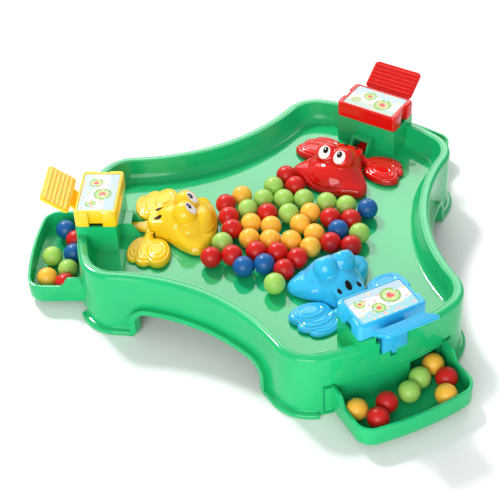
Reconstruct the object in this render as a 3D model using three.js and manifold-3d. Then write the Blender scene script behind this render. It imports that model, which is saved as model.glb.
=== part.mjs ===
// A table game in which three lever-driven frogs snap at marbles on a three-cornered tray.
// Millimetres, +Z up. The hub is the upright middle axis of the tray, reach is measured
// outwards from it, and each of the three corners carries one station.

import * as THREE from "three";
import { mergeVertices } from "three/addons/utils/BufferGeometryUtils.js";
import Module from "manifold-3d";

const wasm = await Module();
wasm.setup();

// Clearances and the overrun of every cut
const gap = 0.3;
const slideGap = 0.4;
const overrun = 4;
const weld = 1e-3;
const half = 0.5;

// Marbles, and in marble radii the field between the frogs, the opening and the catch tray
const marbleRadius = 7.4;
const marbleBite = 0.2;
const marbleSides = 8;
const marbleSteps = 4;
const fieldShare = 6.5;
const openingShare = 5.5;
const catchDepthShare = 5.25;

// From the field of marbles outwards: frog, lever, pedestal and the corner's face
const frogFront = marbleRadius * fieldShare;
const frogLength = 50.4;
const frogRear = frogFront + frogLength;
const pedestalClear = 17.7;
const pedestalIn = frogRear + pedestalClear;
const pedestalDepth = 30;
const faceReach = pedestalIn + pedestalDepth;

// Green tray: heights above the table, and its outline in plan
const playHeight = 35.5;
const playWall = 2;
const basinDepth = 15;
const trayHeight = playHeight + basinDepth;
const skirtWall = 2.2;
const rimWidth = 7;
const rimRound = 3;
const rimRoundShare = 0.3;
const innerWallLean = 1.6;
const coveWidth = 5;
const coveHeight = 5.5;
const cornerCount = 3;
const faceRadius = 185;
const faceHalfAngle = 0.27;
const cornerRadius = 27;
const waistInset = 45;
const waistReach = faceReach - waistInset;
const faceSteps = 3;
const cornerSteps = 5;
const waistSteps = 3;
const arcSteps = 2;
const roundSides = 10;

// Bead along the feet, and the arches between the feet
const beadDepth = 3.6;
const beadHeight = 4;
const beadEdgeShare = 0.75;
const beadHalfGap = 52;
const archHeight = 21.5;
const archHalfWidth = 51;
const archRound = 9;
const archFlare = 5;

// Opening in each corner's face: the marbles' outlet, and the panel beside it
const openingLow = 5.6;
const openingDrop = 11.2;
const openingHigh = playHeight - openingDrop;
const openingLeft = 38.3;
const openingRight = marbleRadius * openingShare + gap;
const panelSetBack = 1.2;
const panelWall = 2;

// Bearings of the lever, and the swing that lifts the frog over a marble
const pivotSetBack = 5.2;
const pivotReach = faceReach - pivotSetBack;
const pivotRise = 8.5;
const pivotHeight = playHeight + pivotRise;
const cheekIn = 5;
const cheekWall = 2;
const cheekHalfDepth = 3.4;
const cheekRise = 6;
const cheekTop = pivotHeight + cheekRise;
const axleRadius = 2.5;
const axleEnd = 2;
const axleHalf = cheekIn + cheekWall + axleEnd;
const axlePlay = 0.15;

// Pedestal, its neck inside the cover, and its slot for the lever
const pedestalHalf = 24.2;
const pedestalRise = 21.9;
const pedestalHeight = playHeight + pedestalRise;
const pedestalWall = 2;
const neckRise = 3.6;
const slotSide = 1.3;
const slotHalf = axleHalf + slotSide;
const slotDrop = 3;
const slotLow = pivotHeight - slotDrop;
const slotShare = 0.8;
const notchHalf = 2.3;
const notchSill = 0.5;
const notchLow = playHeight + notchSill;
const doorHalf = 5.4;
const doorRise = 10.9;
const doorHeight = playHeight + doorRise;

// Hood over the lever's arm
const hoodHalf = 7.8;
const hoodWall = 1.8;
const hoodRise = 12;
const hoodTop = playHeight + hoodRise;
const hoodFlat = 6.8;
const hoodShoulder = pedestalIn - hoodFlat;
const hoodDepth = 14.6;
const hoodToe = pedestalIn - hoodDepth;
const hoodLip = 0.8;
const hoodPlateIn = hoodShoulder - hoodLip;
const hoodSinkShare = 0.1;

// Cover on the pedestal, and the sticker in its recess
const coverSetBack = 16.2;
const coverReach = faceReach - coverSetBack;
const coverTrim = 0.4;
const coverDepth = pedestalDepth - coverTrim;
const coverLap = 0.6;
const coverWidth = (pedestalHalf + coverLap) * 2;
const coverHeight = 12.5;
const coverTop = pedestalHeight + coverHeight;
const coverWall = 2;
const coverRound = 3;
const coverEdge = 0.7;
const labelBorder = 2.3;
const labelSide = 4.2;
const labelDepth = coverDepth - labelBorder * 2;
const labelWidth = coverWidth - labelSide * 2;
const labelThick = 0.4;
const labelSink = 0.3;
const clipHalf = 5;
const clipDepth = 2.2;
const clipGap = 1.8;
const fingerWall = 2;
const fingerHalfDepth = 1.3;

// How high the frog, its lever and its feet lie over the play surface
const frogLift = 0.8;
const armLift = 1.1;
const footLift = 0.7;

// Lever: tongue under the frog, arm, web between the bearings, stem and finger paddle
const tongueSetIn = 14.5;
const tongueLength = 17;
const tongueIn = frogRear - tongueSetIn;
const tongueOut = tongueIn + tongueLength;
const tongueHalf = 5;
const armSide = 1.8;
const armHalf = doorHalf - armSide;
const armLow = playHeight + armLift;
const armThick = 3.3;
const kneeInset = 2.8;
const armKnee = pedestalIn + kneeInset;
const webLead = 6;
const webIn = pivotReach - webLead;
const webSide = 1;
const webHalf = cheekIn - webSide;
const webDrop = 3;
const webLow = pivotHeight - webDrop;
const webRise = 3.6;
const webTop = pivotHeight + webRise;
const stemSetBack = 1.1;
const stemIn = faceReach - stemSetBack;
const stemThick = 2.5;
const stemHalf = axleHalf;
const stemDrop = 1.4;
const stemLow = pivotHeight - stemDrop;
const stemRise = 3.6;
const stemTop = pedestalHeight + stemRise;
const keelSide = 0.6;
const keelHalf = notchHalf - keelSide;
const keelDepth = 3.4;
const keelThick = 2;
const paddleStepOut = 2.6;
const paddleStepUp = 3.6;
const paddleRootReach = stemIn + stemThick + paddleStepOut;
const paddleRootHeight = stemTop + paddleStepUp;
const paddleLength = 22.4;
const paddleHalf = 19.5;
const paddleThick = 2.4;
const paddleTilt = 35;
const paddleRound = 3;
const ridgeCount = 6;
const ridgeHeight = 0.9;
const ridgeShare = 0.5;

// Webbed feet on their yoke
const footLow = playHeight + footLift;
const footRise = 5.4;
const toeWidth = 16.6;
const heelSetIn = 1.5;
const heelReach = frogRear - heelSetIn;
const heelSide = 17;
const yokeSetIn = 6.5;
const yokeDepth = 6;
const yokeIn = frogRear - yokeSetIn;
const yokeOut = yokeIn + yokeDepth;
const yokeHalf = 11;
const yokeThick = 1.8;
const ankleSide = 12.5;
const ankleLength = 4.2;
const ankleReach = yokeIn + ankleLength;
const ankleHalf = 8;
const ankleRise = 5.8;
const toeReach = 20;
// Root and tip of each toe as seen from the heel, in the toes' reach: outwards, then sideways
const toeShares = [
  [0.14, -0.4, 0.39, 1.03],
  [-0.09, -0.35, -0.01, 1.27],
  [-0.33, -0.175, -0.55, 1.32],
];

// Frog shell: how far its forms lie from the jaw, and how long they are, in shares of its length
const frogHalf = 31;
const frogLow = playHeight + frogLift;
const skirtRise = 12.5;
const frogWall = 2;
const rearPlay = 0.9;
const frogRearLow = armLow + armThick + gap + yokeThick + rearPlay;
const frogRings = 24;
const bulgePlaceShare = 0.435;
const bulgeReach = frogFront + frogLength * bulgePlaceShare;
const bulgeSpread = 6.3;
const bulgeRadius = 8.8;
const bulgeLift = 19.2;
const bulgeHeight = frogLow + bulgeLift;
const snoutPlaceShare = 0.278;
const snoutReach = frogFront + frogLength * snoutPlaceShare;
const snoutLift = 3.2;
const snoutHeight = frogLow + snoutLift;
const snoutLengthShare = 0.25;
const snoutLength = frogLength * snoutLengthShare;
const snoutHalf = 19;
const snoutRise = 14.5;
const domePlaceShare = 0.504;
const domeReach = frogFront + frogLength * domePlaceShare;
const domeLift = 3.3;
const domeHeight = frogLow + domeLift;
const domeLengthShare = 0.4365;
const domeLength = frogLength * domeLengthShare;
const domeHalf = 17.4;
const domeRise = 17;
const headPlaceShare = 0.375;
const headReach = frogFront + frogLength * headPlaceShare;
const headLift = 8.2;
const headHeight = frogLow + headLift;
const headLengthShare = 0.258;
const headLength = frogLength * headLengthShare;
const headHalf = 20.5;
const headRise = 10.5;
const backPlaceShare = 0.47;
const backIn = frogFront + frogLength * backPlaceShare;
const backLengthShare = 0.508;
const backLength = frogLength * backLengthShare;
const backOut = backIn + backLength;
const backHalf = 11.4;
const backLift = 16.7;
const backTop = frogLow + backLift;
const backFall = 4;
const backThick = 9;
const legPlaceShare = 0.444;
const legReach = frogFront + frogLength * legPlaceShare;
const legSide = 20;
const legLift = 6.1;
const legHeight = frogLow + legLift;
const legLengthShare = 0.29;
const legLength = frogLength * legLengthShare;
const legHalf = 4;
const legRise = 3.4;
const legAngle = 131;
const legTilt = 17;
// Plan of the shell from the jaw's middle to the back: share of the length, share of the half width
const frogPlanShares = [
  [0, 0],
  [0.02, 0.36],
  [0.1, 0.72],
  [0.2, 0.97],
  [0.31, 0.96],
  [0.45, 0.83],
  [0.58, 0.65],
  [0.72, 0.45],
  [0.88, 0.33],
  [0.97, 0.2],
  [1, 0],
];
// Levels of the skirt: share of the height, of the half width, and where front and back lie
const frogLevelShares = [
  [0, 1, 0, 1],
  [0.3, 1, 0.005, 1],
  [0.55, 0.93, 0.03, 1],
  [0.75, 0.78, 0.08, 0.97],
  [1, 0.5, 0.2, 0.9],
];
// The room inside opens downwards, so it starts a little below the lowest level.
const openLevelShares = [-0.2, 1, 0, 1];

// Hole under the frog and the chute that leads from it to the outlet
const holeInset = 15.9;
const holeLength = 28;
const holeIn = frogFront + holeInset;
const holeOut = holeIn + holeLength;
const holeHalf = 11;
const holeRound = 5;
const chuteWall = 1.8;
const chuteLead = 1.5;
const chuteIn = holeIn - chuteLead;
const chuteSetBack = 3;
const chuteOut = faceReach - chuteSetBack;
const chuteSide = 1;
const chuteHalf = holeHalf + chuteSide;
const bendLead = 2;
const bendLength = 30;
const chuteBend = holeOut - bendLead;
const chuteBendOut = chuteBend + bendLength;
const outletSide = 2.2;
const outletWidth = 24.6;
const outletOut = openingRight - outletSide;
const outletIn = outletOut - outletWidth;
const chuteSill = 0.6;
const chuteFall = 11.4;
const chuteFloorOut = openingLow + chuteSill;
const chuteFloorIn = chuteFloorOut + chuteFall;
const bossInset = 15;
const bossReach = holeIn + bossInset;
const bossStep = 7.5;
const bossSide = holeHalf + bossStep;
const bossRadius = 3;
const bossBore = 1.1;
const earThick = 2.2;

// Catch tray
const catchDepth = marbleRadius * catchDepthShare;
const catchFront = faceReach + catchDepth;
const catchWall = 2;
const catchHalf = openingRight + catchWall;
const catchDrop = 1.6;
const catchLow = openingLow - catchDrop;
const catchFloor = 1.8;
const shoulderStep = 1.7;
const catchShoulder = openingHigh + shoulderStep;
const rimDrop = 7.5;
const catchRim = catchShoulder - rimDrop;
const riseSetOut = 4.3;
const riseLength = 7.5;
const catchRise = faceReach + riseSetOut;
const catchRiseEnd = catchRise + riseLength;
const catchRound = 12;
const tabIn = catchHalf - catchWall;
const tabWidth = 6.2;
const tabOut = tabIn + tabWidth;
const tabLow = catchLow;
const tabHigh = catchShoulder - catchWall;
const tabThick = 1.8;
const tabSink = 0.9;
const pocketPlay = 2.5;
const pocketLow = tabLow - pocketPlay;
const pocketHigh = tabHigh + pocketPlay;
const pocketOut = tabOut + gap * 2;
const pocketDepth = 1.2;

const green = { color: 0x22b45f, roughness: 0.3, metalness: 0 };
const stickerPaper = { color: 0xf3f1ea, roughness: 0.5, metalness: 0 };
const marbleFinish = {
  red: { color: 0xd8262c, roughness: 0.25, metalness: 0 },
  orange: { color: 0xf0a020, roughness: 0.25, metalness: 0 },
  green: { color: 0x93c94a, roughness: 0.3, metalness: 0 },
  blue: { color: 0x1c4f9c, roughness: 0.25, metalness: 0 },
};
const stations = [
  { name: "blue", angle: -90, finish: { color: 0x2a9df0, roughness: 0.3, metalness: 0 } },
  { name: "red", angle: 30, finish: { color: 0xe01818, roughness: 0.25, metalness: 0 } },
  { name: "yellow", angle: 150, finish: { color: 0xf6c81a, roughness: 0.3, metalness: 0 } },
];

// Marbles on the board, as straight runs of touching marbles: colour, how many, the middle of
// the run in marble radii from the hub along X and Y, and the run's direction in degrees.
const boardRunShares = [
  ["red", 2, 3.53, 5.43, -92],
  ["red", 3, -4.34, 3.37, -108],
  ["green", 3, 1.52, 3.13, -30],
  ["green", 2, 5.6, -0.09, -44],
  ["orange", 2, 1.88, -0.57, -148],
  ["orange", 2, 0.89, -3.79, -130],
  ["orange", 2, -2.23, 0.7, -42],
  ["orange", 3, -2.5, -1.69, -34],
  ["red", 2, 4.81, -2.27, -37],
  ["red", 2, -7.57, -1.6, -21],
  ["red", 2, -3.62, -3.14, -34],
  ["red", 2, -2.48, -5.75, -156],
  ["red", 2, 2.93, -5.6, -44],
  ["blue", 2, -5.53, -4.26, -19],
  ["green", 1, 1.63, 5.44, 0],
  ["orange", 1, -1.76, 5.64, 0],
  ["blue", 1, 7.82, -2.24, 0],
  ["green", 1, -2.26, 3.44, 0],
  ["red", 1, -0.88, 1.96, 0],
  ["green", 1, 0.88, 0.92, 0],
  ["blue", 1, 3.76, -3.65, 0],
  ["green", 1, -6.62, 0.15, 0],
  ["green", 1, 5.24, -5.07, 0],
  ["green", 1, -5.05, -7.45, 0],
];

// Marbles in the catch trays, in marble radii outwards from the face and along it
const catchRunShares = {
  blue: [
    ["orange", 1, 1.49, -4.5, 0],
    ["red", 2, 2.61, -2.61, 127],
    ["green", 2, 1.39, 1.38, 120],
    ["orange", 1, 0.04, 4.15, 0],
    ["red", 1, 2.05, 4.24, 0],
    ["orange", 1, 3.73, 3.11, 0],
  ],
  yellow: [
    ["blue", 1, 2.53, -3.62, 0],
    ["red", 1, 1.28, -2, 0],
    ["green", 1, 3.22, 0.51, 0],
    ["blue", 1, 1.19, 0.03, 0],
    ["green", 1, 1.35, 2.47, 0],
    ["orange", 1, 3.19, 3.7, 0],
    ["red", 1, 1.32, 4.5, 0],
  ],
  red: [["orange", 3, 2, 0.6, 97]],
};

// Basic solids. Every mesh starts as a closed geometry and is joined or cut as a solid.

function solidOf(geometry) {
  const bare = new THREE.BufferGeometry();
  bare.setAttribute("position", geometry.getAttribute("position"));
  if (geometry.index) bare.setIndex(geometry.index);
  const merged = mergeVertices(bare, weld);
  const vertProperties = merged.getAttribute("position").array;
  const triVerts = new Uint32Array(merged.index.array);
  const closed = new wasm.Mesh({ numProp: 3, vertProperties, triVerts });
  closed.merge();
  return new wasm.Manifold(closed);
}

function geometryOf(solid) {
  const mesh = solid.getMesh();
  const geometry = new THREE.BufferGeometry();
  geometry.setAttribute("position", new THREE.BufferAttribute(mesh.vertProperties, 3));
  geometry.setIndex(new THREE.BufferAttribute(mesh.triVerts, 1));
  const loose = geometry.toNonIndexed();
  loose.computeVertexNormals();
  return loose;
}

function join(geometries) {
  return geometries.map(solidOf).reduce((whole, piece) => whole.add(piece));
}

function cut(solid, geometries) {
  return geometries.map(solidOf).reduce((whole, piece) => whole.subtract(piece), solid);
}

function prism(shape, low, high) {
  const options = { depth: high - low, bevelEnabled: false, curveSegments: arcSteps };
  return new THREE.ExtrudeGeometry(shape, options).translate(0, 0, low);
}

// A shape drawn with reach to the right and height upwards, extruded along the face.
function sidePlate(shape, halfWidth) {
  const options = { depth: 2 * halfWidth, bevelEnabled: false, curveSegments: arcSteps };
  const plate = new THREE.ExtrudeGeometry(shape, options);
  return plate.rotateX(Math.PI / 2).translate(0, halfWidth, 0);
}

function block(x0, x1, y0, y1, z0, z1) {
  const box = new THREE.BoxGeometry(x1 - x0, y1 - y0, z1 - z0);
  return box.translate((x0 + x1) * half, (y0 + y1) * half, (z0 + z1) * half);
}

function polygon(points) {
  return new THREE.Shape(points.map(([x, y]) => new THREE.Vector2(x, y)));
}

function roundedRectangle(x0, x1, y0, y1, radius) {
  const shape = new THREE.Shape();
  shape.moveTo(x0 + radius, y0);
  shape.lineTo(x1 - radius, y0);
  shape.absarc(x1 - radius, y0 + radius, radius, -Math.PI / 2, 0);
  shape.lineTo(x1, y1 - radius);
  shape.absarc(x1 - radius, y1 - radius, radius, 0, Math.PI / 2);
  shape.lineTo(x0 + radius, y1);
  shape.absarc(x0 + radius, y1 - radius, radius, Math.PI / 2, Math.PI);
  shape.lineTo(x0, y0 + radius);
  shape.absarc(x0 + radius, y0 + radius, radius, Math.PI, Math.PI * 1.5);
  return shape;
}

// Rings of equally many points are skinned one to the next and closed by a fan at each end.
function loft(rings) {
  const count = rings[0].length;
  const points = rings.flat();
  const middles = [rings[0], rings[rings.length - 1]].map((ring) =>
    ring.reduce((sum, p) => sum.add(p), new THREE.Vector3()).divideScalar(count),
  );
  points.push(...middles);
  const index = [];
  rings.slice(1).forEach((_, r) => {
    for (let i = 0; i < count; i++) {
      const a = r * count + i;
      const b = r * count + ((i + 1) % count);
      index.push(a, b, b + count, a, b + count, a + count);
    }
  });
  const last = (rings.length - 1) * count;
  for (let i = 0; i < count; i++) {
    const next = (i + 1) % count;
    index.push(next, i, last + count, last + i, last + next, last + count + 1);
  }
  const geometry = new THREE.BufferGeometry().setFromPoints(points);
  return geometry.setIndex(index);
}

// Outline of the tray in plan, offset outwards: each corner has a face, two fillets and the
// halves of the two waists beside it, all of them arcs that meet at a tangent.
function halfCorner(offset) {
  const faceMiddle = faceReach - faceRadius;
  const spread = faceRadius - cornerRadius;
  const filletX = faceMiddle + spread * Math.cos(faceHalfAngle);
  const filletY = spread * Math.sin(faceHalfAngle);
  const waistAngle = Math.PI / cornerCount;
  const waistX = Math.cos(waistAngle);
  const waistY = Math.sin(waistAngle);
  const along = filletX * waistX + filletY * waistY;
  const square = filletX * filletX + filletY * filletY;
  const waistRadius =
    (cornerRadius ** 2 - waistReach ** 2 + 2 * along * waistReach - square) /
    (2 * (waistReach - along - cornerRadius));
  const hollowX = (waistReach + waistRadius) * waistX;
  const hollowY = (waistReach + waistRadius) * waistY;
  const filletEnd = Math.atan2(hollowY - filletY, hollowX - filletX);
  const arcs = [
    [faceMiddle, 0, faceRadius + offset, 0, faceHalfAngle, faceSteps],
    [filletX, filletY, cornerRadius + offset, faceHalfAngle, filletEnd, cornerSteps],
    [hollowX, hollowY, waistRadius - offset, filletEnd + Math.PI, waistAngle + Math.PI, waistSteps],
  ];
  const points = arcs.flatMap(([x, y, radius, from, to, steps]) =>
    Array.from({ length: steps }, (_, i) => {
      const angle = from + ((to - from) * i) / steps;
      return new THREE.Vector2(x + radius * Math.cos(angle), y + radius * Math.sin(angle));
    }),
  );
  const waist = waistReach + offset;
  points.push(new THREE.Vector2(waist * waistX, waist * waistY));
  return points;
}

function outline(offset) {
  const upper = halfCorner(offset);
  const lower = upper
    .slice(1, -1)
    .reverse()
    .map((p) => new THREE.Vector2(p.x, -p.y));
  const corner = [...lower, ...upper];
  const centre = new THREE.Vector2();
  return stations.flatMap(({ angle }) =>
    corner.map((p) => p.clone().rotateAround(centre, THREE.MathUtils.degToRad(angle))),
  );
}

// A closed profile of offset and height, carried once round the outline.
function outlineSweep(profile) {
  const rings = profile.map(([offset, height]) =>
    outline(offset).map((p) => new THREE.Vector3(p.x, p.y, height)),
  );
  const count = rings[0].length;
  const index = [];
  rings.forEach((_, r) => {
    const next = (r + 1) % rings.length;
    for (let i = 0; i < count; i++) {
      const j = (i + 1) % count;
      index.push(r * count + i, r * count + j, next * count + j);
      index.push(r * count + i, next * count + j, next * count + i);
    }
  });
  return new THREE.BufferGeometry().setFromPoints(rings.flat()).setIndex(index);
}

// The chords of a corner's face between two places along it, set back from that face, so that
// every piece that follows the face has the same flats.
function faceLine(setBack, y0, y1) {
  const radius = faceRadius - setBack;
  const points = Array.from({ length: 2 * faceSteps + 1 }, (_, i) => {
    const angle = faceHalfAngle * (i / faceSteps - 1);
    return new THREE.Vector2(radius * Math.cos(angle) + faceReach - faceRadius, radius * Math.sin(angle));
  });
  const at = (y) => {
    const beyond = points.findIndex((p) => p.y > y);
    const end = beyond < 0 ? points.length - 1 : Math.max(1, beyond);
    const [a, b] = [points[end - 1], points[end]];
    return a.clone().lerp(b, (y - a.y) / (b.y - a.y));
  };
  return [at(y0), ...points.filter((p) => p.y > y0 && p.y < y1), at(y1)];
}

// Plan between a straight inner line and the corner's curved face.
function facePlan(inner, y0, y1, setBack) {
  const corners = [new THREE.Vector2(inner, y1), new THREE.Vector2(inner, y0)];
  return new THREE.Shape([...faceLine(setBack, y0, y1), ...corners]);
}

function faceSlab(y0, y1, setBack, thick, low, high) {
  const outer = faceLine(setBack, y0, y1);
  const inner = faceLine(setBack + thick, y0, y1).reverse();
  return prism(new THREE.Shape([...outer, ...inner]), low, high);
}

// Tray

function trayShell() {
  const shelf = rimWidth + innerWallLean + coveWidth;
  const slope = rimWidth + innerWallLean;
  const profile = [
    [beadDepth, 0],
    [beadDepth, beadHeight * beadEdgeShare],
    [0, beadHeight],
    [0, trayHeight - rimRound],
    [-rimRound * rimRoundShare, trayHeight - rimRound * rimRoundShare],
    [-rimRound, trayHeight],
    [-rimWidth, trayHeight],
    [-slope, playHeight + coveHeight],
    [-shelf, playHeight],
    [-shelf - playWall, playHeight],
    [-shelf - playWall, playHeight - playWall],
    [-shelf + playWall * half, playHeight - playWall],
    [-slope + skirtWall, playHeight + coveHeight],
    [-rimWidth + skirtWall, trayHeight - playWall],
    [-skirtWall, trayHeight - playWall],
    [-skirtWall, 0],
  ];
  const plate = new THREE.Shape(outline(-shelf));
  return [outlineSweep(profile), prism(plate, playHeight - playWall, playHeight)];
}

// The arch between two feet, drawn across the waist, grown outwards by a margin.
function archShape(margin, floor) {
  const top = archHeight + margin;
  const side = archHalfWidth + margin;
  const round = archRound + margin;
  const flare = archFlare - margin;
  const shape = new THREE.Shape();
  shape.moveTo(-side - flare, floor);
  shape.lineTo(side + flare, floor);
  shape.lineTo(side + flare, 0);
  shape.absarc(side + flare, flare, flare, -Math.PI / 2, Math.PI, true);
  shape.absarc(side - round, top - round, round, 0, Math.PI / 2);
  shape.absarc(round - side, top - round, round, Math.PI / 2, Math.PI);
  shape.absarc(-side - flare, flare, flare, 0, -Math.PI / 2, true);
  return shape;
}

function archBlock(margin, floor) {
  const depth = faceReach;
  const options = { depth, bevelEnabled: false, curveSegments: arcSteps };
  const arch = new THREE.ExtrudeGeometry(archShape(margin, floor), options);
  return arch.rotateX(Math.PI / 2).rotateZ(Math.PI / 2).translate(waistReach * half, 0, 0);
}

function archBead() {
  const high = archHeight + beadHeight * 2;
  const band = outlineSweep([
    [beadDepth, 0],
    [beadDepth, high],
    [-skirtWall * half, high],
    [-skirtWall * half, 0],
  ]);
  const arches = waistAngles().map((angle) => archBlock(beadHeight, 0).rotateZ(angle));
  return join(arches).intersect(solidOf(band));
}

function waistAngles() {
  return stations.map(({ angle }) => THREE.MathUtils.degToRad(angle) + Math.PI / cornerCount);
}

function pedestalGrowth() {
  const neckHalf = pedestalHalf - coverWall;
  const neckIn = coverReach - coverDepth * half + coverWall + gap;
  const neckOut = coverReach + coverDepth * half - coverWall - gap;
  const neckTop = pedestalHeight + neckRise;
  const body = facePlan(pedestalIn, -pedestalHalf, pedestalHalf, 0);
  return [
    prism(body, playHeight - playWall, pedestalHeight),
    block(neckIn, neckOut, -neckHalf, neckHalf, pedestalHeight - overrun, neckTop),
  ];
}

function pedestalHollow() {
  const side = pedestalHalf - pedestalWall;
  const plan = facePlan(pedestalIn + pedestalWall, -side, side, skirtWall);
  const neckSide = pedestalHalf - coverWall - pedestalWall;
  const neckIn = coverReach - coverDepth * half + coverWall + gap + pedestalWall;
  const neckOut = coverReach + coverDepth * half - coverWall - gap - pedestalWall;
  const top = pedestalHeight - pedestalWall;
  const clip = clipHalf + coverWall + gap;
  const bore = pivotReach + axleRadius + axlePlay;
  const axleRoom = axleHalf + overrun;
  return [
    prism(plan, playHeight, top),
    block(neckIn, neckOut, -neckSide, neckSide, top - overrun, pedestalHeight + neckRise + overrun),
    block(coverReach - clip, coverReach + clip, -side, side, top - gap, coverTop),
    block(coverReach - clip, coverReach + clip, -pedestalHalf, pedestalHalf, pedestalHeight, coverTop),
    block(neckOut - overrun, bore + overrun, -axleRoom, axleRoom, top - overrun, coverTop),
  ];
}

function bearingCheeks() {
  const low = playHeight - playWall * half;
  const out = cheekIn + cheekWall;
  const x0 = pivotReach - cheekHalfDepth;
  const x1 = pivotReach + cheekHalfDepth;
  const bore = axleRadius + axlePlay;
  const seat = polygon([
    [x0, low],
    [x1, low],
    [x1, cheekTop],
    [pivotReach + bore, cheekTop],
    [pivotReach + bore, pivotHeight],
    ...arcPoints(pivotReach, pivotHeight, bore, 0, -Math.PI, cornerSteps).slice(1),
    [pivotReach - bore, cheekTop],
    [x0, cheekTop],
  ]);
  const cheek = sidePlate(seat, cheekWall * half);
  const middle = (cheekIn + out) * half;
  return [cheek.clone().translate(0, middle, 0), cheek.clone().translate(0, -middle, 0)];
}

function arcPoints(x, y, radius, from, to, steps) {
  return Array.from({ length: steps + 1 }, (_, i) => {
    const angle = from + ((to - from) * i) / steps;
    return [x + radius * Math.cos(angle), y + radius * Math.sin(angle)];
  });
}

function hood() {
  const low = playHeight - playWall * half;
  const into = pedestalIn + pedestalWall * half;
  const side = polygon([
    [hoodToe, low],
    [into, low],
    [into, hoodTop],
    [hoodShoulder, hoodTop],
    [hoodToe, playHeight],
  ]);
  const wall = sidePlate(side, hoodWall * half);
  const middle = hoodHalf - hoodWall * half;
  return [
    wall.clone().translate(0, middle, 0),
    wall.clone().translate(0, -middle, 0),
    block(hoodPlateIn, into, -hoodHalf, hoodHalf, hoodTop - hoodWall, hoodTop - hoodWall * hoodSinkShare),
  ];
}

function screwBosses() {
  const low = playHeight - playWall - overrun;
  const high = playHeight - playWall * half;
  const boss = new THREE.CylinderGeometry(bossRadius, bossRadius, high - low, marbleSides);
  boss.rotateX(Math.PI / 2).translate(bossReach, 0, (high + low) * half);
  return [boss.clone().translate(0, bossSide, 0), boss.clone().translate(0, -bossSide, 0)];
}

function screwBores(low, high) {
  const bore = new THREE.CylinderGeometry(bossBore, bossBore, high - low, marbleSides);
  bore.rotateX(Math.PI / 2).translate(bossReach, 0, (low + high) * half);
  return [bore.clone().translate(0, bossSide, 0), bore.clone().translate(0, -bossSide, 0)];
}

function cornerCuts() {
  const faceIn = faceReach - skirtWall - coveWidth;
  const out = faceReach + beadDepth + overrun;
  const through = overrun + skirtWall * 2;
  const opening = faceSlab(-openingLeft, openingRight, -overrun, through, openingLow, openingHigh);
  const pocket = (y0, y1) => faceSlab(y0, y1, -overrun, overrun + pocketDepth, pocketLow, pocketHigh);
  const before = beadDepth + overrun;
  const beadTop = beadHeight + overrun;
  const beadBreak = faceSlab(-beadHalfGap, beadHalfGap, -before, before, -overrun, beadTop);
  const hole = roundedRectangle(holeIn, holeOut, -holeHalf, holeHalf, holeRound);
  const slotIn = pivotReach + cheekHalfDepth * slotShare;
  const doorOut = pedestalIn + pedestalWall + overrun;
  return [
    opening,
    pocket(-pocketOut, -tabIn + gap),
    pocket(tabIn - gap, pocketOut),
    beadBreak,
    prism(hole, playHeight - playWall - overrun, playHeight + overrun),
    block(slotIn, out, -slotHalf, slotHalf, slotLow, coverTop),
    block(faceIn, out, -notchHalf, notchHalf, notchLow, slotLow + overrun),
    block(pedestalIn - overrun, doorOut, -doorHalf, doorHalf, playHeight, doorHeight),
    ...screwBores(playHeight - playWall - overrun * 2, playHeight - playWall),
  ];
}

function around(geometries) {
  return stations.flatMap(({ angle }) =>
    geometries.map((g) => g.clone().rotateZ(THREE.MathUtils.degToRad(angle))),
  );
}

function tray() {
  let solid = join(trayShell()).add(archBead());
  solid = cut(solid, waistAngles().map((angle) => archBlock(0, -overrun).rotateZ(angle)));
  solid = solid.add(join(around(pedestalGrowth())));
  solid = cut(solid, around(pedestalHollow()));
  solid = solid.add(join(around([...bearingCheeks(), ...hood(), ...screwBosses()])));
  return cut(solid, around(cornerCuts()));
}

// Cover

function cover() {
  const x0 = coverReach - coverDepth * half;
  const x1 = coverReach + coverDepth * half;
  const side = coverWidth * half;
  const low = pedestalHeight + gap;
  const top = coverTop - coverWall - labelSink;
  const edge = side - coverEdge;
  const plan = roundedRectangle(x0 + coverEdge, x1 - coverEdge, -edge, edge, coverRound - coverEdge);
  const shell = new THREE.ExtrudeGeometry(plan, {
    depth: coverTop - low,
    bevelThickness: coverEdge,
    bevelSize: coverEdge,
    bevelSegments: 1,
    curveSegments: arcSteps,
  }).translate(0, 0, low - coverEdge);
  const labelX = labelDepth * half + gap;
  const labelY = labelWidth * half + gap;
  const recess = coverTop - labelThick - labelSink - gap;
  const clipWall = side - clipDepth;
  const clip = clipHalf + coverWall;
  const fingerIn = cheekIn + cheekWall + gap;
  const fingerLow = pivotHeight + axleRadius + slideGap;
  const into = top + coverWall * half;
  const fingerX = pivotReach - fingerHalfDepth;
  const finger = (y) => block(fingerX, fingerX + fingerHalfDepth * 2, y, y + fingerWall, fingerLow, into);
  const clipPad = (y) => block(coverReach - clip, coverReach + clip, y, y + coverWall, low + clipGap, into);
  const notchLow = low - overrun;
  const notchTop = coverTop + overrun;
  const notch = (y0, y1) => block(coverReach - clipHalf, coverReach + clipHalf, y0, y1, notchLow, notchTop);
  let solid = cut(solidOf(shell), [
    block(x0 - overrun, x1 + overrun, -side - overrun, side + overrun, low - overrun, low),
    block(x0 + coverWall, x1 - coverWall, coverWall - side, side - coverWall, low - overrun, top),
    block(coverReach - labelX, coverReach + labelX, -labelY, labelY, recess, coverTop + overrun),
  ]);
  solid = solid.add(
    join([
      clipPad(clipWall - coverWall),
      clipPad(-clipWall),
      finger(fingerIn),
      finger(-fingerIn - fingerWall),
    ]),
  );
  return cut(solid, [notch(clipWall, side + overrun), notch(-side - overrun, -clipWall)]);
}

function label() {
  const plan = roundedRectangle(
    coverReach - labelDepth * half,
    coverReach + labelDepth * half,
    -labelWidth * half,
    labelWidth * half,
    coverRound * half,
  );
  const top = coverTop - labelSink;
  return solidOf(prism(plan, top - labelThick, top));
}

// Lever

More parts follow.
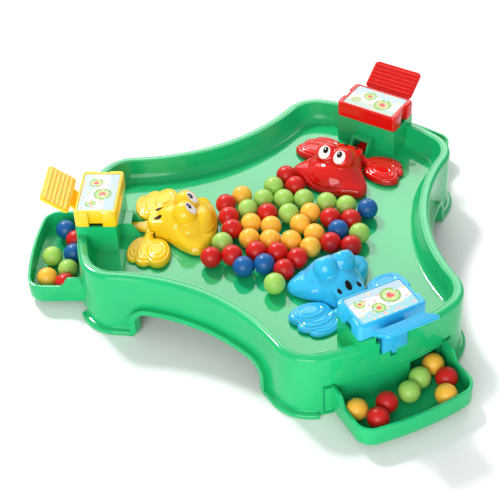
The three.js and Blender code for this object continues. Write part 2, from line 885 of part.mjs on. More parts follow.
function paddle() {
  const pitch = paddleLength / (ridgeCount + 1);
  const ridges = Array.from({ length: ridgeCount }, (_, i) => {
    const middle = pitch * (i + 1);
    const foot = pitch * ridgeShare * half;
    const crest = foot * half;
    return [
      [middle + foot, paddleThick],
      [middle + crest, paddleThick + ridgeHeight],
      [middle - crest, paddleThick + ridgeHeight],
      [middle - foot, paddleThick],
    ];
  }).reverse();
  const profile = polygon([
    [0, 0],
    [paddleLength, 0],
    [paddleLength, paddleThick],
    ...ridges.flat(),
    [0, paddleThick],
  ]);
  const plate = solidOf(sidePlate(profile, paddleHalf));
  const corners = roundedRectangle(0, paddleLength, -paddleHalf, paddleHalf, paddleRound);
  const rounded = plate.intersect(solidOf(prism(corners, -overrun, overrun * 2)));
  const placed = geometryOf(rounded);
  placed.rotateY(-THREE.MathUtils.degToRad(paddleTilt));
  return placed.translate(paddleRootReach, 0, paddleRootHeight);
}

function lever() {
  const armTop = armLow + armThick;
  const arm = polygon([
    [tongueOut - overrun, armLow],
    [armKnee + overrun, armLow],
    [webIn, webLow],
    [webIn + overrun, webLow],
    [webIn + overrun, webTop],
    [webIn, webTop],
    [armKnee, armTop],
    [tongueOut - overrun, armTop],
  ]);
  const web = polygon([
    [webIn, webLow],
    [pivotReach + axleRadius, stemLow - axlePlay],
    [stemIn + stemThick * half, stemLow],
    [stemIn + stemThick * half, webTop],
    [webIn, webTop],
  ]);
  const out = stemIn + stemThick;
  const tilt = THREE.MathUtils.degToRad(paddleTilt);
  const rootX = paddleRootReach + paddleThick * Math.cos(tilt);
  const rootZ = paddleRootHeight + paddleThick * Math.sin(tilt);
  const stem = polygon([
    [stemIn, stemLow],
    [out, stemLow],
    [out, stemTop - stemThick * half],
    [rootX, rootZ - paddleThick * Math.cos(tilt)],
    [paddleRootReach - paddleThick * Math.sin(tilt) * half, paddleRootHeight + paddleThick * half],
    [stemIn, stemTop],
  ]);
  const axle = new THREE.CylinderGeometry(axleRadius, axleRadius, axleHalf * 2, roundSides);
  axle.translate(pivotReach, 0, 0).translate(0, 0, pivotHeight);
  return join([
    block(tongueIn, tongueOut, -tongueHalf, tongueHalf, armLow, armTop),
    sidePlate(arm, armHalf),
    sidePlate(web, webHalf),
    axle,
    sidePlate(stem, stemHalf),
    block(stemIn, stemIn + keelThick, -keelHalf, keelHalf, stemLow - keelDepth, stemLow + stemThick),
    paddle(),
  ]);
}

// Frog

function frogRing(level, inset) {
  const [heightShare, widthShare, frontShare, backShare] = level;
  const shares = [...frogPlanShares, ...frogPlanShares.slice(1, -1).reverse().map(([x, y]) => [x, -y])];
  const curve = new THREE.CatmullRomCurve3(
    shares.map(([x, y]) => new THREE.Vector3(x, -y, 0)),
    true,
    "centripetal",
  );
  const length = frogLength - 2 * inset;
  const width = (frogHalf - inset) * widthShare;
  const height = frogLow + (skirtRise - inset) * heightShare;
  return curve
    .getPoints(frogRings)
    .slice(0, -1)
    .map((p) => {
      const along = frontShare + (backShare - frontShare) * p.x;
      return new THREE.Vector3(frogFront + inset + length * along, width * p.y, height);
    });
}

function ellipsoid(length, side, rise, bands) {
  return new THREE.SphereGeometry(1, roundSides, bands).rotateX(Math.PI / 2).scale(length, side, rise);
}

// Snout, head and dome of the shell, drawn in by the wall for the room inside.
function frogForms(inset) {
  const bands = cornerSteps + 1;
  const snout = ellipsoid(snoutLength - inset, snoutHalf - inset, snoutRise - inset, bands);
  const head = ellipsoid(headLength - inset, headHalf - inset, headRise - inset, bands);
  const dome = ellipsoid(domeLength - inset, domeHalf - inset, domeRise - inset, bands);
  return [
    snout.translate(snoutReach, 0, snoutHeight),
    head.translate(headReach, 0, headHeight),
    dome.translate(domeReach, 0, domeHeight),
  ];
}

// Eye bulge and folded leg at one side of the shell.
function bulgeAndLeg() {
  const bulge = ellipsoid(bulgeRadius, bulgeRadius, bulgeRadius, cornerSteps + 1);
  const leg = ellipsoid(legLength, legHalf, legRise, cornerSteps);
  leg.rotateY(THREE.MathUtils.degToRad(legTilt)).rotateZ(THREE.MathUtils.degToRad(legAngle));
  return [
    bulge.translate(bulgeReach, bulgeSpread, bulgeHeight),
    leg.translate(legReach, legSide, legHeight),
  ];
}

// The flat of the back, which falls towards the rear.
function backPlate() {
  const rearTop = backTop - backFall;
  const side = [
    [backIn, backTop - backThick],
    [backOut, rearTop - backThick],
    [backOut, rearTop],
    [backIn, backTop],
  ];
  return sidePlate(polygon(side), backHalf);
}

function frog() {
  const outer = loft(frogLevelShares.map((level) => frogRing(level, 0)));
  const levels = [openLevelShares, ...frogLevelShares];
  const inner = loft(levels.map((level) => frogRing(level, frogWall)));
  const solid = join([outer, backPlate(), ...frogForms(0), ...bothSides(bulgeAndLeg())]);
  const rear = yokeIn - slideGap;
  const back = frogRear + overrun;
  const cavity = join([inner, ...frogForms(frogWall)]).subtract(
    solidOf(block(rear, back, -frogHalf, frogHalf, 0, trayHeight + coverTop)),
  );
  return cut(solid.subtract(cavity), [
    block(rear, back, -frogHalf, frogHalf, 0, frogRearLow),
    block(0, back, -frogHalf * 2, frogHalf * 2, 0, frogLow),
  ]);
}

// Webbed feet: three toes fan out from each heel, and a yoke under the shell joins the heels.
function feet() {
  const yokeLow = armLow + armThick + gap;
  const yokeTop = yokeLow + yokeThick;
  const toes = toeShares.map(([rootOut, rootAside, tipOut, tipAside]) => {
    const length = Math.hypot(tipOut - rootOut, tipAside - rootAside) * toeReach;
    const angle = Math.atan2(tipAside - rootAside, tipOut - rootOut);
    const middleReach = heelReach + (rootOut + tipOut) * half * toeReach;
    const middleSide = heelSide + (rootAside + tipAside) * half * toeReach;
    const toe = ellipsoid(length * half, toeWidth * half, footRise, cornerSteps);
    return toe.rotateZ(angle).translate(middleReach, middleSide, footLow);
  });
  const ankle = ellipsoid(ankleLength, ankleHalf, ankleRise, cornerSteps);
  const whole = join([
    ...bothSides([...toes, ankle.translate(ankleReach, ankleSide, footLow)]),
    block(yokeIn, yokeOut, -yokeHalf, yokeHalf, yokeLow, yokeTop),
  ]);
  return cut(whole, [block(0, faceReach, -faceReach, faceReach, 0, footLow)]);
}

// Geometries at one side of the frog, and the same at its other side.
function bothSides(geometries) {
  return geometries.flatMap((geometry) => [geometry, turned(geometry.clone().scale(1, -1, 1))]);
}

// A mirrored geometry has its triangles turned round, so that they face out again.
function turned(geometry) {
  const index = geometry.index.array;
  for (let i = 0; i < index.length; i += 3) {
    const swap = index[i + 1];
    index[i + 1] = index[i + 2];
    index[i + 2] = swap;
  }
  return geometry;
}

// Chute

function channelPlan(margin) {
  return polygon([
    [chuteIn - margin, -chuteHalf - margin],
    [chuteBend + margin, -chuteHalf - margin],
    [chuteBendOut + margin, outletIn - margin],
    [chuteOut + overrun + margin, outletIn - margin],
    [chuteOut + overrun + margin, outletOut + margin],
    [chuteBendOut - margin, outletOut + margin],
    [chuteBend - margin, chuteHalf + margin],
    [chuteIn - margin, chuteHalf + margin],
  ]);
}

function floorWedge(drop) {
  const low = -overrun;
  const x0 = chuteIn - overrun;
  const x1 = chuteOut + overrun * 2;
  const fall = (chuteFloorIn - chuteFloorOut) / (chuteOut - chuteIn);
  const wedge = polygon([
    [x0, low],
    [x1, low],
    [x1, chuteFloorOut - drop - fall * (x1 - chuteOut)],
    [x0, chuteFloorIn - drop + fall * (chuteIn - x0)],
  ]);
  return sidePlate(wedge, faceReach * half);
}

function chute() {
  const ceiling = playHeight - playWall - gap;
  const outer = cut(solidOf(prism(channelPlan(chuteWall), 0, ceiling)), [floorWedge(chuteWall)]);
  const room = cut(solidOf(prism(channelPlan(0), 0, ceiling + overrun)), [floorWedge(0)]);
  const earLow = ceiling - overrun - earThick;
  const earSide = bossSide + bossRadius;
  const earTop = earLow + earThick;
  const ears = block(bossReach - bossRadius, bossReach + bossRadius, -earSide, earSide, earLow, earTop);
  const inside = facePlan(0, -openingRight, openingRight, skirtWall + gap);
  const trimmed = outer.intersect(solidOf(prism(inside, -overrun, ceiling + overrun)));
  const panel = faceSlab(
    gap - openingLeft,
    outletIn,
    panelSetBack,
    panelWall + skirtWall - panelSetBack,
    openingLow + gap,
    openingHigh - gap,
  );
  const solid = trimmed.add(solidOf(ears)).add(solidOf(panel)).subtract(room);
  return cut(solid, screwBores(earLow - overrun, ceiling));
}

// Catch tray

function catchPlan(inset) {
  const middle = faceReach - faceRadius;
  const inner = faceRadius + slideGap - (inset > 0 ? overrun : 0);
  const outer = catchFront - middle - inset;
  const side = catchHalf - inset;
  const round = catchRound - inset;
  const cornerX = middle + Math.sqrt((outer - round) ** 2 - (side - round) ** 2);
  const turn = Math.atan2(side - round, cornerX - middle);
  const shape = new THREE.Shape();
  shape.absarc(middle, 0, inner, Math.asin(side / inner), -Math.asin(side / inner), true);
  shape.absarc(cornerX, round - side, round, -Math.PI / 2, -turn);
  shape.absarc(middle, 0, outer, -turn, turn);
  shape.absarc(cornerX, side - round, round, turn, Math.PI / 2);
  return shape;
}

function catchTray() {
  const inner = faceReach - overrun * 2;
  const out = catchFront + overrun;
  const cutaway = new THREE.Shape();
  const middle = (catchRise + catchRiseEnd) * half;
  cutaway.moveTo(catchRise, catchShoulder);
  cutaway.bezierCurveTo(middle, catchShoulder, middle, catchRim, catchRiseEnd, catchRim);
  cutaway.lineTo(out, catchRim);
  cutaway.lineTo(out, catchShoulder + overrun);
  cutaway.lineTo(catchRise, catchShoulder + overrun);
  const tab = (y0, y1) => faceSlab(y0, y1, tabSink - tabThick, tabThick, tabLow, tabHigh);
  const outer = solidOf(prism(catchPlan(0), catchLow, catchShoulder));
  const room = solidOf(prism(catchPlan(catchWall), catchLow + catchFloor, catchShoulder + overrun));
  const solid = cut(outer.subtract(room), [sidePlate(cutaway, faceReach)]);
  const tabs = join([tab(tabIn, tabOut), tab(-tabOut, -tabIn)]);
  return solid.add(tabs);
}

// A run of touching marbles, turned about its own line.
function marbleRun(count) {
  const pitch = 2 * marbleRadius - marbleBite;
  const meet = Math.acos((pitch * half) / marbleRadius);
  const profile = [];
  for (let i = 0; i < count; i++) {
    const middle = (i - (count - 1) * half) * pitch;
    const from = i === 0 ? 0 : meet;
    const to = i === count - 1 ? Math.PI : Math.PI - meet;
    for (let k = i === 0 ? 0 : 1; k <= marbleSteps; k++) {
      const angle = from + ((to - from) * k) / marbleSteps;
      const radius = Math.max(0, marbleRadius * Math.sin(angle));
      const onAxis = (i === 0 && k === 0) || (i === count - 1 && k === marbleSteps);
      profile.push(new THREE.Vector2(onAxis ? 0 : radius, middle - marbleRadius * Math.cos(angle)));
    }
  }
  return solidOf(new THREE.LatheGeometry(profile, marbleSides).rotateZ(-Math.PI / 2));
}

function mesh(name, solid, finish) {
  const piece = new THREE.Mesh(geometryOf(solid), new THREE.MeshStandardMaterial(finish));
  piece.name = name;
  return piece;
}

function marbleMeshes(prefix, runs, origin, floor) {
  const seen = {};
  return runs.map(([colour, count, x, y, angle]) => {
    seen[colour] = (seen[colour] || 0) + 1;
    const piece = mesh(`${prefix}_${colour}_${seen[colour]}`, marbleRun(count), marbleFinish[colour]);
    piece.position.set(origin + x * marbleRadius, y * marbleRadius, floor + gap + marbleRadius);
    piece.rotation.z = THREE.MathUtils.degToRad(angle);
    return piece;
  });
}

function station({ name, angle, finish }) {
  const place = new THREE.Group();
  place.rotation.z = THREE.MathUtils.degToRad(angle);
  place.add(
    mesh(`cover_${name}`, cover(), finish),
    mesh(`label_${name}`, label(), stickerPaper),
    mesh(`lever_${name}`, lever(), finish),
    mesh(`frog_${name}`, frog(), finish),
    mesh(`feet_${name}`, feet(), finish),
    mesh(`chute_${name}`, chute(), green),
    mesh(`catch_tray_${name}`, catchTray(), green),
    ...marbleMeshes(`caught_${name}`, catchRunShares[name], faceReach, catchLow + catchFloor),
  );
  return place;
}

const game = new THREE.Group();
game.add(mesh("tray", tray(), green));
stations.forEach((corner) => game.add(station(corner)));
game.add(...marbleMeshes("board", boardRunShares, 0, playHeight));

// The origin lies under the middle of the whole game, on the table.
game.updateMatrixWorld(true);
const bounds = new THREE.Box3().setFromObject(game, true);
const middle = bounds.getCenter(new THREE.Vector3());
game.position.set(-middle.x, -middle.y, -bounds.min.z);

export default game;
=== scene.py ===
import math

import bmesh
import bpy
from bpy.props import FloatProperty, FloatVectorProperty, IntProperty, PointerProperty
from bpy.types import Operator, Panel, PropertyGroup
from mathutils import Matrix, Vector
from mathutils.bvhtree import BVHTree


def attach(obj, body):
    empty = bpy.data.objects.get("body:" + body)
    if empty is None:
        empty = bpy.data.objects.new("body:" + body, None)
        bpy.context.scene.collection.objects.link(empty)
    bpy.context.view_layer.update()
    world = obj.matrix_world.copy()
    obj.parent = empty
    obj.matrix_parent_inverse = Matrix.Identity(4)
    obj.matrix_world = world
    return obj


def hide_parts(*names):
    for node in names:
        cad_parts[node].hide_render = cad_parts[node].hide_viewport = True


bl_info = {
    "name": "Frog marble game",
    "version": (1, 0, 0),
    "blender": (4, 5, 0),
    "location": "3D View > Sidebar > Frog Game",
    "description": "Builds the looks of a three-cornered marble game with lever-driven frogs",
    "category": "Add Mesh",
}

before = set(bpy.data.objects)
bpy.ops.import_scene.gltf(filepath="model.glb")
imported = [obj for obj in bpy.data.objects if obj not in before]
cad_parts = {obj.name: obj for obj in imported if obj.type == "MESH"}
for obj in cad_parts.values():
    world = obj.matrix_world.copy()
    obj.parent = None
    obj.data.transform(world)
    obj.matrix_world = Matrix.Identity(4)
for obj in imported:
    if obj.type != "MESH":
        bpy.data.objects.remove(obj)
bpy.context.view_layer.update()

# All shapes are drawn in millimetres about the tray's upright middle axis, the hub.
# A station's shapes are drawn along x, reaching out from the hub, and are then turned to its angle.
MM = 0.001
HUB_Y = 30.4933
STATIONS = {"blue": -90.0, "red": 30.0, "yellow": 150.0}
WAISTS = (-30.0, 90.0, 210.0)
CORNERS = 3

# Fits between pieces
GAP = 0.3
SLIDE_GAP = 0.4

# How far a cutting shape runs past what it cuts, and small steps that keep faces out of one plane
OVERRUN = 4.0
PLANE_STEP = 0.1
FLOOR_STEP = 0.02
TOP_STEP = 0.01

# Outline of the tray in plan, as in the solids
FACE_REACH = 146.2
FACE_RADIUS = 185.0
FACE_HALF_ANGLE = 0.27
CORNER_RADIUS = 27.0
WAIST_REACH = 101.2

# Heights and walls of the tray
TRAY_HEIGHT = 50.5
PLAY_HEIGHT = 35.5
PLAY_WALL = 2.0
SKIRT_WALL = 2.2
RIM_WIDTH = 7.0
RIM_ROUND = 3.0
INNER_LEAN = 1.6
COVE_WIDTH = 5.0
COVE_HEIGHT = 5.5
BEAD_DEPTH = 3.6
BEAD_HEIGHT = 4.0

# The lever's axle and the two cheeks that carry it
PIVOT_REACH = 141.0
PIVOT_HEIGHT = 44.0
AXLE_RADIUS = 2.5
AXLE_PLAY = 0.15
AXLE_BORE = AXLE_RADIUS + AXLE_PLAY
AXLE_HALF = 9.0
CHEEK_IN = 5.0
CHEEK_WALL = 2.0
CHEEK_HALF_DEPTH = 3.4
CHEEK_RISE = 6.0

# How finely round shapes are divided
FACE_STEPS = 12
CORNER_STEPS = 14
WAIST_STEPS = 14
FACE_LINE_STEPS = 24
CORNER_ARC_STEPS = 8
SMALL_ARC_STEPS = 5
SEAT_STEPS = 12
ROUND_SIDES = 40
ROUND_ROWS = 20
BOSS_SIDES = 24


# Plain geometry: these functions return points, or points and faces, in millimetres


def arc(cx, cy, radius, start, end, steps, last=True):
    """Points of an arc in a plane, with or without its last one."""
    count = steps + 1 if last else steps
    turn = (end - start) / steps
    return [
        (cx + radius * math.cos(start + turn * i), cy + radius * math.sin(start + turn * i))
        for i in range(count)
    ]


def circle(cx, cy, radius, sides):
    """Points once round, without repeating the first."""
    return arc(cx, cy, radius, 0, 2 * math.pi * (sides - 1) / sides, sides - 1)


def rounded_rectangle(x0, x1, y0, y1, radius, steps=CORNER_ARC_STEPS):
    quarter = math.pi / 2
    return (
        arc(x1 - radius, y0 + radius, radius, -quarter, 0, steps)
        + arc(x1 - radius, y1 - radius, radius, 0, quarter, steps)
        + arc(x0 + radius, y1 - radius, radius, quarter, 2 * quarter, steps)
        + arc(x0 + radius, y0 + radius, radius, 2 * quarter, 3 * quarter, steps)
    )


def half_corner(offset):
    """Half of a corner's outline, from the middle of its face to the middle of the waist."""
    face_middle = FACE_REACH - FACE_RADIUS
    spread = FACE_RADIUS - CORNER_RADIUS
    fillet_x = face_middle + spread * math.cos(FACE_HALF_ANGLE)
    fillet_y = spread * math.sin(FACE_HALF_ANGLE)
    waist_angle = math.pi / CORNERS
    waist_x, waist_y = math.cos(waist_angle), math.sin(waist_angle)
    along = fillet_x * waist_x + fillet_y * waist_y
    square = fillet_x**2 + fillet_y**2
    waist_radius = (CORNER_RADIUS**2 - WAIST_REACH**2 + 2 * along * WAIST_REACH - square) / (
        2 * (WAIST_REACH - along - CORNER_RADIUS)
    )
    hollow_x = (WAIST_REACH + waist_radius) * waist_x
    hollow_y = (WAIST_REACH + waist_radius) * waist_y
    fillet_end = math.atan2(hollow_y - fillet_y, hollow_x - fillet_x)
    fillet_radius = CORNER_RADIUS + offset
    points = arc(face_middle, 0, FACE_RADIUS + offset, 0, FACE_HALF_ANGLE, FACE_STEPS, False)
    points += arc(fillet_x, fillet_y, fillet_radius, FACE_HALF_ANGLE, fillet_end, CORNER_STEPS, False)
    start = fillet_end + math.pi
    end = waist_angle + math.pi
    points += arc(hollow_x, hollow_y, waist_radius - offset, start, end, WAIST_STEPS)
    return points


def outline(offset):
    """The tray's whole outline, grown by an offset."""
    upper = half_corner(offset)
    lower = [(x, -y) for x, y in reversed(upper[1:-1])]
    points = []
    for angle in STATIONS.values():
        turn = math.radians(angle)
        cos, sin = math.cos(turn), math.sin(turn)
        points += [(x * cos - y * sin, x * sin + y * cos) for x, y in lower + upper]
    return points


def outline_sweep(profile):
    """A closed profile of offset and height, carried once round the tray's outline."""
    rings = [[(x, y, height) for x, y in outline(offset)] for offset, height in profile]
    count = len(rings[0])
    points = [p for ring in rings for p in ring]
    faces = []
    for r in range(len(rings)):
        s = (r + 1) % len(rings)
        for i in range(count):
            j = (i + 1) % count
            faces.append((r * count + i, r * count + j, s * count + j, s * count + i))
    return points, faces


def loft(rings):
    """Rings of equally many points, skinned one to the next and closed at both ends."""
    count = len(rings[0])
    points = [p for ring in rings for p in ring]
    faces = [tuple(reversed(range(count)))]
    for r in range(len(rings) - 1):
        for i in range(count):
            j = (i + 1) % count
            faces.append((r * count + i, r * count + j, (r + 1) * count + j, (r + 1) * count + i))
    last = (len(rings) - 1) * count
    faces.append(tuple(range(last, last + count)))
    return points, faces


def prism(plan, low, high):
    return loft([[(x, y, low) for x, y in plan], [(x, y, high) for x, y in plan]])


def side_plate(profile, half_width):
    """A profile of reach and height, as thick as twice the half width along the face."""
    return loft([[(x, half_width, z) for x, z in profile], [(x, -half_width, z) for x, z in profile]])


def block(x0, x1, y0, y1, z0, z1):
    return prism([(x0, y0), (x1, y0), (x1, y1), (x0, y1)], z0, z1)


def behind(x0, low, high):
    """A cutting block outwards from a reach, wider than any piece of a station."""
    return block(x0, FACE_REACH, -FACE_REACH, FACE_REACH, low, high)


def edged_plate(x0, x1, half, rounding, low, high, foot, crown):
    """A plate with round corners. Foot and crown list insets, with steps up from low and down from high."""
    levels = [(inset, low + step) for inset, step in foot]
    levels += [(inset, high - step) for inset, step in crown]
    rings = []
    for inset, height in levels:
        plan = rounded_rectangle(x0 + inset, x1 - inset, inset - half, half - inset, rounding - inset)
        rings.append([(x, y, height) for x, y in plan])
    return loft(rings)


def tube(radius, x, z, half_length):
    """A round bar along the face."""
    return side_plate(circle(x, z, radius, ROUND_SIDES), half_length)


def ellipsoid(centre, radii, turn=0.0, pitch=0.0, fullness=1.0):
    """An ellipsoid, turned in plan and then pitched, in degrees.

    With a fullness under 1 its top and bottom are flatter.
    """
    place = Matrix.Translation(centre) @ Matrix.Rotation(math.radians(turn), 4, "Z")
    place = place @ Matrix.Rotation(math.radians(-pitch), 4, "Y")
    rings = []
    for r in range(1, ROUND_ROWS):
        polar = math.pi * (1 - r / ROUND_ROWS)
        level = radii[2] * math.copysign(abs(math.cos(polar)) ** fullness, math.cos(polar))
        ring = circle(0.0, 0.0, math.sin(polar) ** fullness, ROUND_SIDES)
        rings.append([tuple(place @ Vector((radii[0] * x, radii[1] * y, level))) for x, y in ring])
    return loft(rings)


def turned(shape, degrees):
    """The shape, turned about the hub."""
    points, faces = shape
    turn = math.radians(degrees)
    cos, sin = math.cos(turn), math.sin(turn)
    return [(x * cos - y * sin, x * sin + y * cos, z) for x, y, z in points], faces


def tilted(shape, degrees, x, z):
    """The shape, tilted in the plane of reach and height and then moved."""
    turn = math.radians(degrees)
    cos, sin = math.cos(turn), math.sin(turn)
    points, faces = shape
    return [(px * cos - pz * sin + x, py, px * sin + pz * cos + z) for px, py, pz in points], faces


def moved(shape, x=0.0, y=0.0, z=0.0):
    points, faces = shape
    return [(px + x, py + y, pz + z) for px, py, pz in points], faces


def both_sides(shape):
    """The shape and its mirror image across the station's middle plane."""
    points, faces = shape
    return [shape, ([(x, -y, z) for x, y, z in points], faces)]


def at_every_station(shapes):
    return [turned(shape, angle) for angle in STATIONS.values() for shape in shapes]


def face_line(set_back, y0, y1):
    """A stretch of the corner's curved face in plan, set back from it."""
    middle = FACE_REACH - FACE_RADIUS
    radius = FACE_RADIUS - set_back
    return arc(middle, 0, radius, math.asin(y0 / radius), math.asin(y1 / radius), FACE_LINE_STEPS)


def face_plan(inner, y0, y1, set_back):
    """A plan that reaches from a straight line at the inner reach out to the face."""
    return face_line(set_back, y0, y1) + [(inner, y1), (inner, y0)]


def face_slab(y0, y1, set_back, thick, low, high):
    """A slab that follows the face."""
    plan = face_line(set_back, y0, y1) + face_line(set_back + thick, y0, y1)[::-1]
    return prism(plan, low, high)


# From points and faces to Blender objects

WELD = 0.0005
SMOOTHING = 0.6
SHARP_ANGLE = 32.0
TRAY_SHARP_ANGLE = 28.0
SKIN_SHARP_ANGLE = 50.0
MARBLE_SHARP_ANGLE = 80.0


def solid(shape):
    """A loose working object, in millimetres about the hub."""
    mesh = bpy.data.meshes.new("work")
    mesh.from_pydata([Vector(p) for p in shape[0]], [], shape[1])
    bm = bmesh.new()
    bm.from_mesh(mesh)
    bmesh.ops.remove_doubles(bm, verts=bm.verts, dist=WELD)
    bmesh.ops.recalc_face_normals(bm, faces=bm.faces)
    bm.to_mesh(mesh)
    bm.free()
    return working_object(mesh)


def working_object(mesh):
    obj = bpy.data.objects.new("work", mesh)
    bpy.context.scene.collection.objects.link(obj)
    return obj


def copied(obj):
    return working_object(obj.data.copy())


def discard(*objects):
    for obj in objects:
        mesh = obj.data
        bpy.data.objects.remove(obj)
        if mesh.users == 0:
            bpy.data.meshes.remove(mesh)


def baked(obj):
    """Applies all modifiers of a working object."""
    bpy.context.view_layer.update()
    graph = bpy.context.evaluated_depsgraph_get()
    made = bpy.data.meshes.new_from_object(obj.evaluated_get(graph), depsgraph=graph)
    old = obj.data
    obj.modifiers.clear()
    obj.data = made
    bpy.data.meshes.remove(old)
    return obj


def combine(base, shapes, operation):
    """Joins shapes to a working object, cuts them out of it, or keeps what they share."""
    combine_objects(base, [solid(shape) for shape in shapes], operation)


def combine_objects(base, tools, operation):
    """The same with working objects, which are used up."""
    for tool in tools:
        modifier = base.modifiers.new("combine", "BOOLEAN")
        modifier.object = tool
        modifier.operation = operation
        modifier.solver = "MANIFOLD"
    baked(base)
    discard(*tools)


def soften(obj, width, segments, angle):
    """Rounds the edges of a working object that are sharper than the angle."""
    modifier = obj.modifiers.new("edges", "BEVEL")
    modifier.width = width
    modifier.segments = segments
    modifier.limit_method = "ANGLE"
    modifier.angle_limit = math.radians(angle)
    modifier.miter_outer = "MITER_ARC"
    baked(obj)


def melt(obj, size, smoothing):
    """Melts joined forms into one smooth skin, as a moulded toy has."""
    modifier = obj.modifiers.new("skin", "REMESH")
    modifier.mode = "VOXEL"
    modifier.voxel_size = size
    smooth = obj.modifiers.new("smooth", "SMOOTH")
    smooth.factor = SMOOTHING
    smooth.iterations = smoothing
    baked(obj)


def paint(obj, material):
    """Gives a piece its one material."""
    obj.data.materials.clear()
    obj.data.materials.append(material)


def finished(obj, name, material, body, replaces=(), station=None, sharp=SHARP_ANGLE):
    """Turns a working object into a piece of the game: metres, at the origin, riding on its body."""
    matrix = Matrix.Translation((0, HUB_Y * MM, 0)) @ Matrix.Scale(MM, 4)
    if station:
        matrix = matrix @ Matrix.Rotation(math.radians(STATIONS[station]), 4, "Z")
    obj.data.transform(matrix)
    paint(obj, material)
    obj.data.shade_smooth()
    obj.data.set_sharp_from_angle(angle=math.radians(sharp))
    obj.name = name
    obj.data.name = name
    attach(obj, body)
    if replaces:
        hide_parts(*replaces)
    return obj


# Geometry node trees that set equal items in a row

ROW_INPUTS = {
    "Count": "NodeSocketInt",
    "Pitch": "NodeSocketFloat",
    "Radius": "NodeSocketFloat",
    "Width": "NodeSocketFloat",
    "Material": "NodeSocketMaterial",
}


def row_recipe(name, labels, add_item):
    """A tree with the named inputs, and their identifiers.

    The function add_item makes one item's nodes and returns its mesh socket and its turn.
    """
    tree = bpy.data.node_groups.new(name, "GeometryNodeTree")
    sockets = tree.interface
    sockets.new_socket(name="Geometry", in_out="OUTPUT", socket_type="NodeSocketGeometry")
    identifiers = {}
    for label in labels:
        socket = sockets.new_socket(name=label, in_out="INPUT", socket_type=ROW_INPUTS[label])
        identifiers[label] = socket.identifier
    nodes, links = tree.nodes, tree.links
    ins, outs = nodes.new("NodeGroupInput"), nodes.new("NodeGroupOutput")
    step = nodes.new("ShaderNodeCombineXYZ")
    links.new(ins.outputs["Pitch"], step.inputs["X"])
    line = nodes.new("GeometryNodeMeshLine")
    links.new(ins.outputs["Count"], line.inputs["Count"])
    links.new(step.outputs["Vector"], line.inputs["Offset"])
    mesh, turn = add_item(nodes, links, ins.outputs)
    copies = nodes.new("GeometryNodeInstanceOnPoints")
    copies.inputs["Rotation"].default_value = turn
    links.new(line.outputs["Mesh"], copies.inputs["Points"])
    links.new(mesh, copies.inputs["Instance"])
    real = nodes.new("GeometryNodeRealizeInstances")
    links.new(copies.outputs["Instances"], real.inputs["Geometry"])
    coat = nodes.new("GeometryNodeSetMaterial")
    links.new(real.outputs["Geometry"], coat.inputs["Geometry"])
    links.new(ins.outputs["Material"], coat.inputs["Material"])
    links.new(coat.outputs["Geometry"], outs.inputs["Geometry"])
    return tree, identifiers


def from_recipe(recipe, values):
    """A working object made by a geometry node tree, with its inputs given by name."""
    tree, identifiers = recipe
    obj = working_object(bpy.data.meshes.new("work"))
    modifier = obj.modifiers.new("nodes", "NODES")
    modifier.node_group = tree
    for label, value in values.items():
        modifier[identifiers[label]] = value
    return baked(obj)


def shape_of(obj):
    """Takes a working object apart into points and faces, and discards it."""
    points = [tuple(v.co) for v in obj.data.vertices]
    faces = [tuple(p.vertices) for p in obj.data.polygons]
    discard(obj)
    return points, faces


# Moulded plastic: clouds of tone, fine marks in the polish, and the waviness of the flow

CLOUD_SCALE = 18.0
FINE_CLOUD_SCALE = 60.0
CLOUD_DETAIL = 2.0
CLOUD_LOW = 0.35
CLOUD_HIGH = 0.7
CLOUD_SHARE = 0.35
DEEP_SHARE = 0.72
MARK_SCALE = 90.0
MARK_DETAIL = 4.0
MARK_LOW = 0.3
MARK_HIGH = 0.75
MARK_POLISHED = -0.02
MARK_DULL = 0.06
WAVE_SCALE = 45.0
WAVE_DETAIL = 1.0
WAVE_DEPTH = 0.0006
GLOW_RADIUS = (0.004, 0.003, 0.002)
GLOW_SCALE = 0.5
PLASTIC_IOR = 1.5

# Polish of the tray's level faces
POLISH = 0.95
POLISH_START = 0.9
POLISH_FULL = 0.98
POLISH_ROUGHNESS = 0.05

# How much light spreads under the surface of each colour
STATION_GLOW = {"blue": 0.05, "red": 0.05, "yellow": 0.22}
MARBLE_GLOW = {"red": 0.1, "orange": 0.15, "green": 0.15, "blue": 0.05}

EYE_WHITE = (0.86, 0.8, 0.78)
EYE_BLACK = (0.008, 0.007, 0.007)
SPOT_BROWN = (0.03, 0.014, 0.004)


def node_with(nodes, kind, values):
    """A new node with values in its input sockets."""
    node = nodes.new(kind)
    for socket, value in values.items():
        node.inputs[socket].default_value = value
    return node


def opaque(colour):
    return tuple(colour[:3]) + (1.0,)


def moulded_plastic_group():
    """Colour, roughness and normal of an injection moulding, shared by all the plastics."""
    name = "moulded plastic"
    if name in bpy.data.node_groups:
        return bpy.data.node_groups[name]
    tree = bpy.data.node_groups.new(name, "ShaderNodeTree")
    for label, kind in (
        ("Color", "NodeSocketColor"),
        ("Deep Color", "NodeSocketColor"),
        ("Roughness", "NodeSocketFloat"),
        ("Cloud Scale", "NodeSocketFloat"),
        ("Waviness", "NodeSocketFloat"),
    ):
        tree.interface.new_socket(name=label, in_out="INPUT", socket_type=kind)
    for label, kind in (
        ("Color", "NodeSocketColor"),
        ("Roughness", "NodeSocketFloat"),
        ("Normal", "NodeSocketVector"),
    ):
        tree.interface.new_socket(name=label, in_out="OUTPUT", socket_type=kind)
    ins, outs = tree.nodes.new("NodeGroupInput"), tree.nodes.new("NodeGroupOutput")
    place = tree.nodes.new("ShaderNodeTexCoord").outputs["Object"]
    add_clouds(tree, ins, outs, place)
    add_marks(tree, ins, outs, place)
    add_waviness(tree, ins, outs, place)
    return tree


